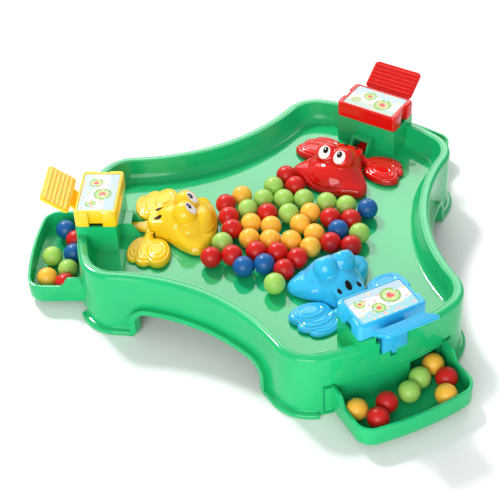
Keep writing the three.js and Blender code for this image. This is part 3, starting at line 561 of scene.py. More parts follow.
def add_clouds(tree, ins, outs, place):
    """Soft clouds of the deeper tone."""
    nodes, links = tree.nodes, tree.links
    cloud = node_with(nodes, "ShaderNodeTexNoise", {"Detail": CLOUD_DETAIL})
    links.new(place, cloud.inputs["Vector"])
    links.new(ins.outputs["Cloud Scale"], cloud.inputs["Scale"])
    tone = node_with(
        nodes, "ShaderNodeMapRange", {"From Min": CLOUD_LOW, "From Max": CLOUD_HIGH, "To Max": CLOUD_SHARE}
    )
    links.new(cloud.outputs["Fac"], tone.inputs["Value"])
    mix = nodes.new("ShaderNodeMix")
    mix.data_type = "RGBA"
    links.new(tone.outputs["Result"], mix.inputs["Factor"])
    links.new(ins.outputs["Color"], mix.inputs["A"])
    links.new(ins.outputs["Deep Color"], mix.inputs["B"])
    links.new(mix.outputs["Result"], outs.inputs["Color"])


def add_marks(tree, ins, outs, place):
    """Fine handling marks, which make the polish uneven."""
    nodes, links = tree.nodes, tree.links
    marks = node_with(nodes, "ShaderNodeTexNoise", {"Scale": MARK_SCALE, "Detail": MARK_DETAIL})
    links.new(place, marks.inputs["Vector"])
    spread = node_with(
        nodes,
        "ShaderNodeMapRange",
        {"From Min": MARK_LOW, "From Max": MARK_HIGH, "To Min": MARK_POLISHED, "To Max": MARK_DULL},
    )
    links.new(marks.outputs["Fac"], spread.inputs["Value"])
    add = nodes.new("ShaderNodeMath")
    add.use_clamp = True
    links.new(ins.outputs["Roughness"], add.inputs[0])
    links.new(spread.outputs["Result"], add.inputs[1])
    links.new(add.outputs["Value"], outs.inputs["Roughness"])


def add_waviness(tree, ins, outs, place):
    """Shallow waves left by the flow of the plastic in its mould."""
    nodes, links = tree.nodes, tree.links
    wave = node_with(nodes, "ShaderNodeTexNoise", {"Scale": WAVE_SCALE, "Detail": WAVE_DETAIL})
    links.new(place, wave.inputs["Vector"])
    bump = node_with(nodes, "ShaderNodeBump", {"Distance": WAVE_DEPTH})
    links.new(ins.outputs["Waviness"], bump.inputs["Strength"])
    links.new(wave.outputs["Fac"], bump.inputs["Height"])
    links.new(bump.outputs["Normal"], outs.inputs["Normal"])


def new_material(name):
    material = bpy.data.materials.new(name)
    material.use_nodes = True
    return material, material.node_tree.nodes, material.node_tree.links


def plastic(name, colour, roughness, waviness, glow=0.0, cloud=CLOUD_SCALE, ior=PLASTIC_IOR):
    """A moulded plastic. Its glow is the share of light that spreads under its surface."""
    if name in bpy.data.materials:
        return bpy.data.materials[name]
    material, nodes, links = new_material(name)
    group = nodes.new("ShaderNodeGroup")
    group.node_tree = moulded_plastic_group()
    group.inputs["Color"].default_value = opaque(colour)
    group.inputs["Deep Color"].default_value = opaque([value * DEEP_SHARE for value in colour])
    group.inputs["Roughness"].default_value = roughness
    group.inputs["Cloud Scale"].default_value = cloud
    group.inputs["Waviness"].default_value = waviness
    shader = nodes["Principled BSDF"]
    links.new(group.outputs["Color"], shader.inputs["Base Color"])
    links.new(group.outputs["Roughness"], shader.inputs["Roughness"])
    links.new(group.outputs["Normal"], shader.inputs["Normal"])
    shader.inputs["IOR"].default_value = ior
    shader.inputs["Subsurface Weight"].default_value = glow
    shader.inputs["Subsurface Radius"].default_value = GLOW_RADIUS
    shader.inputs["Subsurface Scale"].default_value = GLOW_SCALE
    return material


def tray_green():
    """Green plastic that is polished where it lies level, as on the play surface."""
    name = "green tray plastic"
    if name in bpy.data.materials:
        return bpy.data.materials[name]
    colour = bpy.context.scene.frog_game_colours.tray
    material = plastic(name, colour, roughness=0.14, waviness=0.05, ior=1.38)
    nodes, links = material.node_tree.nodes, material.node_tree.links
    shader = nodes["Principled BSDF"]
    place = nodes.new("ShaderNodeTexCoord")
    split = nodes.new("ShaderNodeSeparateXYZ")
    links.new(place.outputs["Normal"], split.inputs["Vector"])
    polish = node_with(
        nodes, "ShaderNodeMapRange", {"From Min": POLISH_START, "From Max": POLISH_FULL, "To Max": POLISH}
    )
    links.new(split.outputs["Z"], polish.inputs["Value"])
    links.new(polish.outputs["Result"], shader.inputs["Coat Weight"])
    shader.inputs["Coat Roughness"].default_value = POLISH_ROUGHNESS
    return material


def catcher_green():
    """The catch trays' green plastic, without the tray's polish."""
    colour = bpy.context.scene.frog_game_colours.tray
    return plastic("green catcher plastic", colour, roughness=0.16, waviness=0.05, ior=1.38)


def station_plastic(station):
    """The glossy plastic of a station's cover, lever, frog and feet."""
    colour = getattr(bpy.context.scene.frog_game_colours, station)
    name = f"{station} glossy plastic"
    return plastic(name, colour, roughness=0.09, waviness=0.1, glow=STATION_GLOW[station])


def marble_plastic(name):
    """The marbles' plastic, a little dull from play."""
    colour = getattr(bpy.context.scene.frog_game_colours, f"marble_{name}")
    return plastic(
        f"{name} marble",
        colour,
        roughness=0.3,
        waviness=0.12,
        glow=MARBLE_GLOW[name],
        cloud=FINE_CLOUD_SCALE,
        ior=1.4,
    )


def eye_white():
    return plastic("eye white", EYE_WHITE, roughness=0.25, waviness=0.02, cloud=FINE_CLOUD_SCALE)


def eye_black():
    return plastic("eye black", EYE_BLACK, roughness=0.3, waviness=0.02, ior=1.25)


def spot_brown():
    return plastic("spot brown", SPOT_BROWN, roughness=0.45, waviness=0.02, ior=1.2)


# The tray

# Section of its edge, as steps. In from the bead's face: up from the table, then down from its top
BEAD_FOOT = ((0.6, 0.0), (0.0, 0.6))
BEAD_CROWN = ((0.0, 1.6), (0.5, 0.8), (1.4, 0.3))
# Out from the skirt, and up from the bead's top
BEAD_FILLET = ((0.3, 0.0), (0.0, 0.4))
# Out from the rim's inner edge, and down from its top: a fine groove and the inner rounding
RIM_GROOVE = ((1.9, 0.0), (1.7, 0.35), (1.3, 0.35), (1.1, 0.0))
RIM_INNER_ROUND = ((0.4, 0.1), (0.0, 0.5), (-0.2, 1.4))
# In from the cove's upper edge, and up from the play surface
COVE = ((0.9, 3.4), (2.3, 1.5), (3.7, 0.4))
RIM_ROUND_STEPS = 8

COVE_OFFSET = RIM_WIDTH + INNER_LEAN
PLAY_OFFSET = COVE_OFFSET + COVE_WIDTH
PLAY_LAP = 0.5

# Arches between the corner feet
ARCH_HEIGHT = 21.5
ARCH_HALF = 51.0
ARCH_ROUND = 9.0
ARCH_FLARE = 5.0
ARCH_FLARE_STEPS = 8
ARCH_ROUND_STEPS = 10
# Section of the bead where it runs round an arch: how far its foot draws in, and how high it reaches
ARCH_BEAD_DRAW = 0.2
ARCH_BEAD_FOOT = 0.5
ARCH_BEAD_TOP = 30.0

# Pedestal, the cover that closes it, and the neck between them
PEDESTAL_IN = 116.2
PEDESTAL_HALF = 24.2
PEDESTAL_HEIGHT = 57.4
PEDESTAL_WALL = 2.0
PEDESTAL_SINK = 1.9
COVER_REACH = 130.0
COVER_DEPTH = 29.6
COVER_WIDTH = 49.6
COVER_TOP = 69.9
COVER_WALL = 2.0
CLIP_HALF = 5.0
CLIP_DEPTH = 2.2
NECK_IN = COVER_REACH - COVER_DEPTH / 2 + COVER_WALL + GAP
NECK_OUT = COVER_REACH + COVER_DEPTH / 2 - COVER_WALL - GAP
NECK_RISE = 3.6
# How far past the pivot the way in for the axles reaches
AXLE_WAY = 6.7

# Hood over the lever's arm
HOOD_TOE = 101.6
HOOD_SHOULDER = 109.4
HOOD_HALF = 7.8
HOOD_TOP = 47.5
HOOD_WALL = 1.8
HOOD_LIP = 0.8
HOOD_SINK = 0.15
# In from the hood's shoulder, and down from its top
HOOD_ROUND = (0.6, 0.3)

# Marble hole under the frog, and the bosses beside it
HOLE_IN = 64.0
HOLE_OUT = 92.0
HOLE_HALF = 11.0
HOLE_ROUND = 5.0
HOLE_STEPS = 10
BOSS_REACH = 79.0
BOSS_SIDE = 18.5
BOSS_RADIUS = 3.0
BOSS_BORE = 1.1
# Outlet for the marbles, its lip, and the pockets for the catch tray's tabs
OUTLET_LEFT = -38.3
OUTLET_RIGHT = 41.0
OUTLET_LOW = 5.6
OUTLET_HIGH = 24.3
LIP_PROUD = 0.9
LIP_THICK = 1.4
LIP_HEIGHT = 0.9
POCKET_IN = 40.7
POCKET_OUT = 47.8
POCKET_LOW = 1.5
POCKET_HIGH = 26.5
POCKET_DEPTH = 1.2
BEAD_HALF_GAP = 52.0
# The lever's T-shaped slot, with a notch below it, and the door for its arm
SLOT_IN = 143.7
SLOT_HALF = 10.3
SLOT_LOW = 41.0
NOTCH_HALF = 2.3
NOTCH_LOW = 36.0
DOOR_HALF = 5.4
DOOR_TOP = 46.4


def tray_profile():
    """Section of the tray's edge, from the bead up over the rim, down to the play surface and back."""
    top = TRAY_HEIGHT
    points = [(BEAD_DEPTH - step, rise) for step, rise in BEAD_FOOT]
    points += [(BEAD_DEPTH - step, BEAD_HEIGHT - drop) for step, drop in BEAD_CROWN]
    points += [(step, BEAD_HEIGHT + rise) for step, rise in BEAD_FILLET]
    points += arc(-RIM_ROUND, top - RIM_ROUND, RIM_ROUND, 0, math.pi / 2, RIM_ROUND_STEPS)
    points += [(step - RIM_WIDTH, top - drop) for step, drop in RIM_GROOVE + RIM_INNER_ROUND]
    points += [(-COVE_OFFSET, PLAY_HEIGHT + COVE_HEIGHT)]
    points += [(-COVE_OFFSET - step, PLAY_HEIGHT + rise) for step, rise in COVE]
    points += [(-PLAY_OFFSET, PLAY_HEIGHT), (-PLAY_OFFSET - PLAY_WALL, PLAY_HEIGHT)]
    points += [(-PLAY_OFFSET - PLAY_WALL, PLAY_HEIGHT - PLAY_WALL)]
    points += [(-PLAY_OFFSET + PLAY_WALL / 2, PLAY_HEIGHT - PLAY_WALL)]
    points += [(-COVE_OFFSET + SKIRT_WALL, PLAY_HEIGHT + COVE_HEIGHT)]
    points += [(-RIM_WIDTH + SKIRT_WALL, top - PLAY_WALL), (-SKIRT_WALL, top - PLAY_WALL)]
    points += [(-SKIRT_WALL, 0.0)]
    return points


def arch_block(margin, floor):
    """The arch between two feet, grown by a margin and run through the skirt at the waist."""
    top = ARCH_HEIGHT + margin
    side = ARCH_HALF + margin
    rounding = ARCH_ROUND + margin
    flare = ARCH_FLARE - margin
    quarter = math.pi / 2
    shape = [(-side - flare, floor), (side + flare, floor)]
    shape += arc(side + flare, flare, flare, -quarter, -2 * quarter, ARCH_FLARE_STEPS)
    shape += arc(side - rounding, top - rounding, rounding, 0, quarter, ARCH_ROUND_STEPS)
    shape += arc(rounding - side, top - rounding, rounding, quarter, 2 * quarter, ARCH_ROUND_STEPS)
    shape += arc(-side - flare, flare, flare, 0, -quarter, ARCH_FLARE_STEPS)
    near = WAIST_REACH / 2
    far = near + FACE_REACH
    return loft([[(near, y, z) for y, z in shape], [(far, y, z) for y, z in shape]])


def arch_bead():
    """The bead round the three arches, as a working object."""
    skirt_middle = -SKIRT_WALL / 2
    section = [(BEAD_DEPTH - ARCH_BEAD_DRAW, 0.0), (BEAD_DEPTH, ARCH_BEAD_FOOT), (BEAD_DEPTH, ARCH_BEAD_TOP)]
    section += [(skirt_middle, ARCH_BEAD_TOP), (skirt_middle, 0.0)]
    bead = solid(outline_sweep(section))
    arches = [turned(arch_block(BEAD_HEIGHT, 0), angle) for angle in WAISTS]
    grown = solid(arches[0])
    combine(grown, arches[1:], "UNION")
    combine_objects(bead, [grown], "INTERSECT")
    return bead


def pedestal_growth():
    """The pedestal and the neck that its cover fits over."""
    plan = face_plan(PEDESTAL_IN, -PEDESTAL_HALF, PEDESTAL_HALF, 0)
    neck_half = PEDESTAL_HALF - COVER_WALL
    neck_top = PEDESTAL_HEIGHT + NECK_RISE
    return [
        prism(plan, PLAY_HEIGHT - PEDESTAL_SINK, PEDESTAL_HEIGHT),
        block(NECK_IN, NECK_OUT, -neck_half, neck_half, PEDESTAL_HEIGHT - OVERRUN, neck_top),
    ]


def pedestal_hollow():
    """The room inside, the neck's bore, the places for the cover's clips and the way in for the axles."""
    side = PEDESTAL_HALF - PEDESTAL_WALL
    plan = face_plan(PEDESTAL_IN + PEDESTAL_WALL, -side, side, SKIRT_WALL)
    ceiling = PEDESTAL_HEIGHT - PEDESTAL_WALL
    neck_in = NECK_IN + PEDESTAL_WALL
    neck_out = NECK_OUT - PEDESTAL_WALL
    neck_side = side - COVER_WALL
    neck_top = PEDESTAL_HEIGHT + NECK_RISE + OVERRUN
    clip = CLIP_HALF + COVER_WALL + GAP
    clip_in = COVER_REACH - clip
    clip_out = COVER_REACH + clip
    axle_in = neck_out - OVERRUN
    axle_out = PIVOT_REACH + AXLE_WAY
    axle_side = AXLE_HALF + OVERRUN
    axle_low = ceiling - OVERRUN - PLANE_STEP
    return [
        prism(plan, PLAY_HEIGHT + FLOOR_STEP, ceiling),
        block(neck_in, neck_out, -neck_side, neck_side, ceiling - OVERRUN, neck_top),
        block(clip_in, clip_out, -side, side, ceiling - GAP, COVER_TOP),
        block(clip_in, clip_out, -PEDESTAL_HALF, PEDESTAL_HALF, PEDESTAL_HEIGHT + TOP_STEP, COVER_TOP),
        block(axle_in, axle_out, -axle_side, axle_side, axle_low, COVER_TOP - PLANE_STEP),
    ]


def bearing_cheeks():
    """Two upright plates with open seats for the lever's axles."""
    low = PLAY_HEIGHT - PLAY_WALL / 2
    top = PIVOT_HEIGHT + CHEEK_RISE
    near = PIVOT_REACH - CHEEK_HALF_DEPTH
    far = PIVOT_REACH + CHEEK_HALF_DEPTH
    seat = [(near, low), (far, low), (far, top), (PIVOT_REACH + AXLE_BORE, top)]
    seat += arc(PIVOT_REACH, PIVOT_HEIGHT, AXLE_BORE, 0, -math.pi, SEAT_STEPS)
    seat += [(PIVOT_REACH - AXLE_BORE, top), (near, top)]
    cheek = side_plate(seat, CHEEK_WALL / 2)
    return both_sides(moved(cheek, y=CHEEK_IN + CHEEK_WALL / 2))


def hood():
    """The small roof over the arm, at the inner side of the pedestal."""
    low = PLAY_HEIGHT - PLAY_WALL / 2
    out = PEDESTAL_IN + PEDESTAL_WALL / 2
    profile = [(HOOD_TOE, low), (out, low), (out, HOOD_TOP), (HOOD_SHOULDER, HOOD_TOP)]
    profile += [(HOOD_SHOULDER - HOOD_ROUND[0], HOOD_TOP - HOOD_ROUND[1]), (HOOD_TOE, PLAY_HEIGHT)]
    wall = moved(side_plate(profile, HOOD_WALL / 2), y=HOOD_HALF - HOOD_WALL / 2)
    plate_in = HOOD_SHOULDER - HOOD_LIP
    plate_out = out - PLANE_STEP
    plate = block(plate_in, plate_out, -HOOD_HALF, HOOD_HALF, HOOD_TOP - HOOD_WALL, HOOD_TOP - HOOD_SINK)
    return both_sides(wall) + [plate]


def boss(radius, low, high):
    return prism(circle(BOSS_REACH, BOSS_SIDE, radius, BOSS_SIDES), low, high)


def screw_bosses():
    """Two bosses under the play surface, for the chute's screws."""
    return both_sides(boss(BOSS_RADIUS, PLAY_HEIGHT - PLAY_WALL - OVERRUN, PLAY_HEIGHT - PLAY_WALL / 2))


def screw_bores():
    underside = PLAY_HEIGHT - PLAY_WALL
    return both_sides(boss(BOSS_BORE, underside - 2 * OVERRUN, underside - PLANE_STEP))


def outlet_lip():
    """The thin raised edge over the outlet and the panel beside it, which catches the light."""
    left = OUTLET_LEFT - GAP
    right = POCKET_IN - PLANE_STEP
    return face_slab(left, right, -LIP_PROUD, LIP_THICK, OUTLET_HIGH + FLOOR_STEP, OUTLET_HIGH + LIP_HEIGHT)


def corner_cuts():
    """Outlet, pockets for the catch tray's tabs, marble hole, and the lever's slot, notch and door."""
    out = FACE_REACH + BEAD_DEPTH + OVERRUN
    through = OVERRUN + 2 * SKIRT_WALL
    before = 2 * OVERRUN
    bead_top = BEAD_HEIGHT + OVERRUN
    hole = rounded_rectangle(HOLE_IN, HOLE_OUT, -HOLE_HALF, HOLE_HALF, HOLE_ROUND, HOLE_STEPS)
    pocket = face_slab(POCKET_IN, POCKET_OUT, -OVERRUN, OVERRUN + POCKET_DEPTH, POCKET_LOW, POCKET_HIGH)
    notch_in = FACE_REACH - SKIRT_WALL - COVE_WIDTH
    door_in = PEDESTAL_IN - OVERRUN
    door_out = PEDESTAL_IN + PEDESTAL_WALL + OVERRUN
    return [
        face_slab(OUTLET_LEFT, OUTLET_RIGHT, -OVERRUN, through, OUTLET_LOW, OUTLET_HIGH),
        *both_sides(pocket),
        face_slab(-BEAD_HALF_GAP, BEAD_HALF_GAP, -before, before, -OVERRUN, bead_top),
        prism(hole, PLAY_HEIGHT - PLAY_WALL - OVERRUN, PLAY_HEIGHT + OVERRUN),
        block(SLOT_IN, out, -SLOT_HALF, SLOT_HALF, SLOT_LOW, COVER_TOP),
        block(notch_in, out, -NOTCH_HALF, NOTCH_HALF, NOTCH_LOW, SLOT_LOW + OVERRUN),
        block(door_in, door_out, -DOOR_HALF, DOOR_HALF, PLAY_HEIGHT + FLOOR_STEP, DOOR_TOP),
        *screw_bores(),
    ]


def moulded_tray():
    """The whole tray, one moulding."""
    tray = solid(outline_sweep(tray_profile()))
    plate = prism(outline(-PLAY_OFFSET - PLAY_LAP), PLAY_HEIGHT - PLAY_WALL, PLAY_HEIGHT)
    combine(tray, [plate], "UNION")
    combine_objects(tray, [arch_bead()], "UNION")
    combine(tray, [turned(arch_block(0.0, -OVERRUN), angle) for angle in WAISTS], "DIFFERENCE")
    combine(tray, at_every_station(pedestal_growth()), "UNION")
    combine(tray, at_every_station(pedestal_hollow()), "DIFFERENCE")
    fittings = bearing_cheeks() + hood() + screw_bosses() + [outlet_lip()]
    combine(tray, at_every_station(fittings), "UNION")
    combine(tray, at_every_station(corner_cuts()), "DIFFERENCE")
    return tray


# Covers

COVER_LOW = PEDESTAL_HEIGHT + GAP
COVER_ROUND = 3.0
COVER_FOOT = ((0.5, 0.0), (0.0, 0.5))
COVER_CROWN = ((0.0, 1.2), (0.3, 0.45), (0.7, 0.12), (1.2, 0.0))
COVER_TOP_WALL = 2.3
COVER_SINK = 1.3
RECESS_HALF_DEPTH = 12.8
RECESS_HALF = 20.9
RECESS_ROUND = 1.2
RECESS_DEPTH = 1.0
CLIP_GAP = 1.8
CLIP_LAP = 1.0
CLIP_ROUND = 0.8
CLIP_STEPS = 4
FINGER_WALL = 2.0
FINGER_HALF_DEPTH = 1.3
COVER_SHARP_ANGLE = 50.0


def cover_pads(wall):
    """Inside the cover: the walls behind its clip notches, and the fingers that hold the axles down."""
    top = COVER_TOP - COVER_SINK
    clip = CLIP_HALF + COVER_WALL
    clip_in, clip_out = COVER_REACH - clip, COVER_REACH + clip
    backing = block(clip_in, clip_out, wall - COVER_WALL, wall + CLIP_LAP, COVER_LOW + CLIP_GAP, top)
    finger_in, finger_out = PIVOT_REACH - FINGER_HALF_DEPTH, PIVOT_REACH + FINGER_HALF_DEPTH
    side = CHEEK_IN + CHEEK_WALL + GAP
    low = PIVOT_HEIGHT + AXLE_RADIUS + SLIDE_GAP
    finger = block(finger_in, finger_out, side, side + FINGER_WALL, low, top)
    return both_sides(backing) + both_sides(finger)


def cover_solid():
    """A pedestal's cover, with a recess for its sticker and a notch for a clip at each end."""
    x0, x1 = COVER_REACH - COVER_DEPTH / 2, COVER_REACH + COVER_DEPTH / 2
    side = COVER_WIDTH / 2
    cover = solid(edged_plate(x0, x1, side, COVER_ROUND, COVER_LOW, COVER_TOP, COVER_FOOT, COVER_CROWN))
    recess_in, recess_out = COVER_REACH - RECESS_HALF_DEPTH, COVER_REACH + RECESS_HALF_DEPTH
    recess = rounded_rectangle(
        recess_in, recess_out, -RECESS_HALF, RECESS_HALF, RECESS_ROUND, SMALL_ARC_STEPS
    )
    room = rounded_rectangle(
        x0 + COVER_WALL, x1 - COVER_WALL, COVER_WALL - side, side - COVER_WALL, RECESS_ROUND, SMALL_ARC_STEPS
    )
    hollows = [prism(room, COVER_LOW - OVERRUN, COVER_TOP - COVER_TOP_WALL)]
    hollows += [prism(recess, COVER_TOP - RECESS_DEPTH, COVER_TOP + OVERRUN)]
    combine(cover, hollows, "DIFFERENCE")
    wall = side - CLIP_DEPTH
    combine(cover, cover_pads(wall), "UNION")
    notch_in, notch_out = COVER_REACH - CLIP_HALF, COVER_REACH + CLIP_HALF
    notch = rounded_rectangle(notch_in, notch_out, wall, side + OVERRUN, CLIP_ROUND, CLIP_STEPS)
    combine(cover, both_sides(prism(notch, COVER_LOW - OVERRUN, COVER_TOP + OVERRUN)), "DIFFERENCE")
    softness = bpy.context.scene.frog_game_details.cover_softness / MM
    soften(cover, softness, segments=2, angle=COVER_SHARP_ANGLE)
    return cover


# Stickers: a generic print on pale paper

PAPER_WHITE = (0.74, 0.71, 0.66)
PRINT_EDGE = 0.0003
# Wavy lines along the sticker: pitch, height, and place across it, in metres
SHORE_LINE = (0.041, 0.0011, 0.0056)
BANK_LINE = (0.029, 0.0013, -0.0052)
PAD_INNER_SHARE = 0.8
PAD_INNER = (0.42, 0.6, 0.2)
BLOOM_SHARE = 0.42
BRUSH_SCALE = 420.0
BRUSH_DEPTH = 0.0013
BUBBLE_SCALE = 190.0
BUBBLE_SCATTER = 0.9
BUBBLE_OUTER = 0.22
BUBBLE_INNER = 0.17
BUBBLE_ROSE = (0.86, 0.4, 0.42)
BUBBLE_BLUE = (0.42, 0.6, 0.78)
BUBBLE_ORANGE = (0.88, 0.55, 0.3)
# Where a bubble's random number turns it from rose to blue, and another turns it orange
BLUE_FROM = (0.45, 0.5)
ORANGE_FROM = (0.6, 0.65)
FIBRE_SCALE = 900.0
FIBRE_RANGE = (-1.2, 2.4)
FIBRE_STRENGTH = 0.1
FIBRE_DEPTH = 0.0001

# Colours of each print, and its lily pads: place along and across the sticker, and radius
PRINTS = {
    "blue": {
        "shore": (0.42, 0.55, 0.6),
        "bank": (0.3, 0.58, 0.62),
        "pad": (0.2, 0.4, 0.08),
        "bloom": (0.75, 0.08, 0.06),
        "pads": ((8.0, 2.4, 7.4), (-4.5, -4.4, 5.0), (-13.5, 4.0, 4.2)),
    },
    "red": {
        "shore": (0.5, 0.6, 0.5),
        "bank": (0.45, 0.62, 0.66),
        "pad": (0.22, 0.42, 0.08),
        "bloom": (0.75, 0.1, 0.07),
        "pads": ((-7.5, 2.2, 7.2), (6.0, -3.6, 5.4), (13.5, 5.0, 3.8)),
    },
    "yellow": {
        "shore": (0.45, 0.58, 0.66),
        "bank": (0.5, 0.62, 0.62),
        "pad": (0.2, 0.38, 0.1),
        "bloom": (0.74, 0.1, 0.08),
        "pads": ((2.5, 2.8, 6.8), (-10.5, -3.2, 5.4), (13.5, -4.2, 4.2)),
    },
}


class StickerPrint:
    """The nodes of one sticker: masks over its plane, and colours laid one over the other."""

    def __init__(self, station):
        self.material, self.nodes, self.links = new_material(f"{station} sticker")
        self.place = self.nodes.new("ShaderNodeTexCoord").outputs["Object"]
        turn = math.radians(STATIONS[station])
        reach = COVER_REACH * MM
        centre = (reach * math.cos(turn), reach * math.sin(turn) + HUB_Y * MM, 0.0)
        plane = node_with(
            self.nodes, "ShaderNodeMapping", {"Location": centre, "Rotation": (0.0, 0.0, turn + math.pi / 2)}
        )
        plane.vector_type = "TEXTURE"
        self.links.new(self.place, plane.inputs["Vector"])
        self.plane = plane.outputs["Vector"]
        split = self.nodes.new("ShaderNodeSeparateXYZ")
        self.links.new(self.plane, split.inputs["Vector"])
        self.along, self.across = split.outputs["X"], split.outputs["Y"]

    def level(self, value, low, high):
        """From 0 at the low value to 1 at the high one."""
        node = node_with(self.nodes, "ShaderNodeMapRange", {"From Min": low, "From Max": high})
        self.links.new(value, node.inputs["Value"])
        return node.outputs["Result"]

    def blend(self, mask, under, over):
        """One colour laid over another where the mask is 1."""
        node = self.nodes.new("ShaderNodeMix")
        node.data_type = "RGBA"
        self.links.new(mask, node.inputs["Factor"])
        for socket, colour in (("A", under), ("B", over)):
            if isinstance(colour, tuple):
                node.inputs[socket].default_value = opaque(colour)
            else:
                self.links.new(colour, node.inputs[socket])
        return node.outputs["Result"]

    def worked_out(self, operation, first, second=0.0):
        node = self.nodes.new("ShaderNodeMath")
        node.operation = operation
        for index, value in enumerate((first, second)):
            if isinstance(value, float):
                node.inputs[index].default_value = value
            else:
                self.links.new(value, node.inputs[index])
        return node.outputs["Value"]

    def past_wave(self, pitch, height, offset):
        """Where the print is past a wavy line along the sticker."""
        phase = self.worked_out("MULTIPLY", self.along, 2 * math.pi / pitch)
        swing = self.worked_out("MULTIPLY", self.worked_out("SINE", phase), height)
        line = self.worked_out("ADD", self.across, swing)
        return self.level(line, offset, offset + PRINT_EDGE)

    def distance_from(self, x, y):
        """Distance from a place on the sticker, made uneven as by a brush."""
        flat = self.nodes.new("ShaderNodeCombineXYZ")
        self.links.new(self.along, flat.inputs["X"])
        self.links.new(self.across, flat.inputs["Y"])
        distance = self.nodes.new("ShaderNodeVectorMath")
        distance.operation = "DISTANCE"
        distance.inputs[1].default_value = (x, y, 0.0)
        self.links.new(flat.outputs["Vector"], distance.inputs[0])
        brush = node_with(self.nodes, "ShaderNodeTexNoise", {"Scale": BRUSH_SCALE})
        self.links.new(self.plane, brush.inputs["Vector"])
        unevenness = self.worked_out("MULTIPLY", brush.outputs["Fac"], BRUSH_DEPTH)
        return self.worked_out("ADD", distance.outputs["Value"], unevenness)

    def add_pad(self, art, x, y, radius, colours):
        """A lily pad with a paler inside and a bloom on it."""
        distance = self.distance_from(x * MM, y * MM)
        for share, colour in zip((1.0, PAD_INNER_SHARE, BLOOM_SHARE), colours):
            edge = radius * share * MM
            art = self.blend(self.level(distance, edge + PRINT_EDGE, edge), art, colour)
        return art

    def add_bubbles(self, art):
        """Small bubbles in three colours, scattered over the whole print."""
        cells = node_with(
            self.nodes, "ShaderNodeTexVoronoi", {"Scale": BUBBLE_SCALE, "Randomness": BUBBLE_SCATTER}
        )
        cells.voronoi_dimensions = "2D"
        self.links.new(self.plane, cells.inputs["Vector"])
        random = self.nodes.new("ShaderNodeSeparateColor")
        self.links.new(cells.outputs["Color"], random.inputs["Color"])
        tint = self.blend(self.level(random.outputs["Red"], *BLUE_FROM), BUBBLE_ROSE, BUBBLE_BLUE)
        tint = self.blend(self.level(random.outputs["Green"], *ORANGE_FROM), tint, BUBBLE_ORANGE)
        return self.blend(self.level(cells.outputs["Distance"], BUBBLE_OUTER, BUBBLE_INNER), art, tint)

    def add_paper(self, shader):
        """The paper's fibres, in its sheen and its relief."""
        fibre = node_with(self.nodes, "ShaderNodeTexNoise", {"Scale": FIBRE_SCALE})
        self.links.new(self.place, fibre.inputs["Vector"])
        self.links.new(self.level(fibre.outputs["Fac"], *FIBRE_RANGE), shader.inputs["Roughness"])
        bump = node_with(
            self.nodes, "ShaderNodeBump", {"Strength": FIBRE_STRENGTH, "Distance": FIBRE_DEPTH}
        )
        self.links.new(fibre.outputs["Fac"], bump.inputs["Height"])
        self.links.new(bump.outputs["Normal"], shader.inputs["Normal"])


def sticker_material(station):
    """A far shore, a near bank, round lily pads in bloom, and bubbles."""
    design = PRINTS[station]
    sheet = StickerPrint(station)
    art = sheet.blend(sheet.past_wave(*SHORE_LINE), PAPER_WHITE, design["shore"])
    near = sheet.worked_out("SUBTRACT", 1.0, sheet.past_wave(*BANK_LINE))
    art = sheet.blend(near, art, design["bank"])
    for x, y, radius in design["pads"]:
        art = sheet.add_pad(art, x, y, radius, (design["pad"], PAD_INNER, design["bloom"]))
    art = sheet.add_bubbles(art)
    shader = sheet.nodes["Principled BSDF"]
    sheet.links.new(art, shader.inputs["Base Color"])
    sheet.add_paper(shader)
    return sheet.material


# Levers

# Finger paddle: its root's place, its tilt, and the insets that soften its lower and upper edges
PADDLE_LENGTH = 22.4
PADDLE_HALF = 19.5
PADDLE_THICK = 2.4
PADDLE_ROUND = 3.0
PADDLE_TILT = 35.0
PADDLE_X = 150.2
PADDLE_Z = 64.6
PADDLE_FOOT = ((0.5, 0.0), (0.0, 0.5))
PADDLE_CROWN = ((0.0, 0.7), (0.25, 0.2), (0.8, 0.0))
RIB_PITCH = 3.2
RIB_SINK = 0.2
RIB_MARGIN = 1.5
RIB_SIDES = 20

# Arm from the tongue under the frog to the stem in the slot
TONGUE_IN = 84.0
TONGUE_OUT = 101.0
TONGUE_HALF = 5.0
TONGUE_ROUND = 1.5
ARM_LOW = 36.6
ARM_TOP = 39.9
ARM_HALF = 3.6
ARM_KNEE = 119.0
WEB_IN = 135.0
WEB_LOW = 41.0
WEB_TOP = 47.6
WEB_HALF = 4.0
WEB_LAP = 1.3
STEM_IN = 145.1
STEM_THICK = 2.5
STEM_LOW = 42.6
STEM_TOP = 61.0
# Steps out from the stem's outer side and up from its top, where it bends into the paddle's root
STEM_BEND = ((0.5, 0.6), (1.8, 2.2))
ROOT_SHARE = 0.9
KEEL_HALF = 1.7
KEEL_DEPTH = 3.4
KEEL_THICK = 2.0
LEVER_SOFTNESS = 0.35
LEVER_SHARP_ANGLE = 40.0


def add_rib(nodes, links, inputs):
    """A round rib across the paddle."""
    rib = node_with(nodes, "GeometryNodeMeshCylinder", {"Vertices": RIB_SIDES, "Side Segments": 1})
    links.new(inputs["Radius"], rib.inputs["Radius"])
    links.new(inputs["Width"], rib.inputs["Depth"])
    return rib.outputs["Mesh"], (math.pi / 2, 0, 0)


def grip(recipe, material):
    """The paddle's ribs, side by side on its face."""
    details = bpy.context.scene.frog_game_details
    ribs = from_recipe(
        recipe,
        {
            "Count": details.ribs,
            "Pitch": RIB_PITCH,
            "Width": 2 * (PADDLE_HALF - RIB_MARGIN),
            "Radius": details.rib_radius / MM,
            "Material": material,
        },
    )
    laid = moved(shape_of(ribs), x=RIB_PITCH, z=PADDLE_THICK - RIB_SINK)
    return tilted(laid, PADDLE_TILT, PADDLE_X, PADDLE_Z)


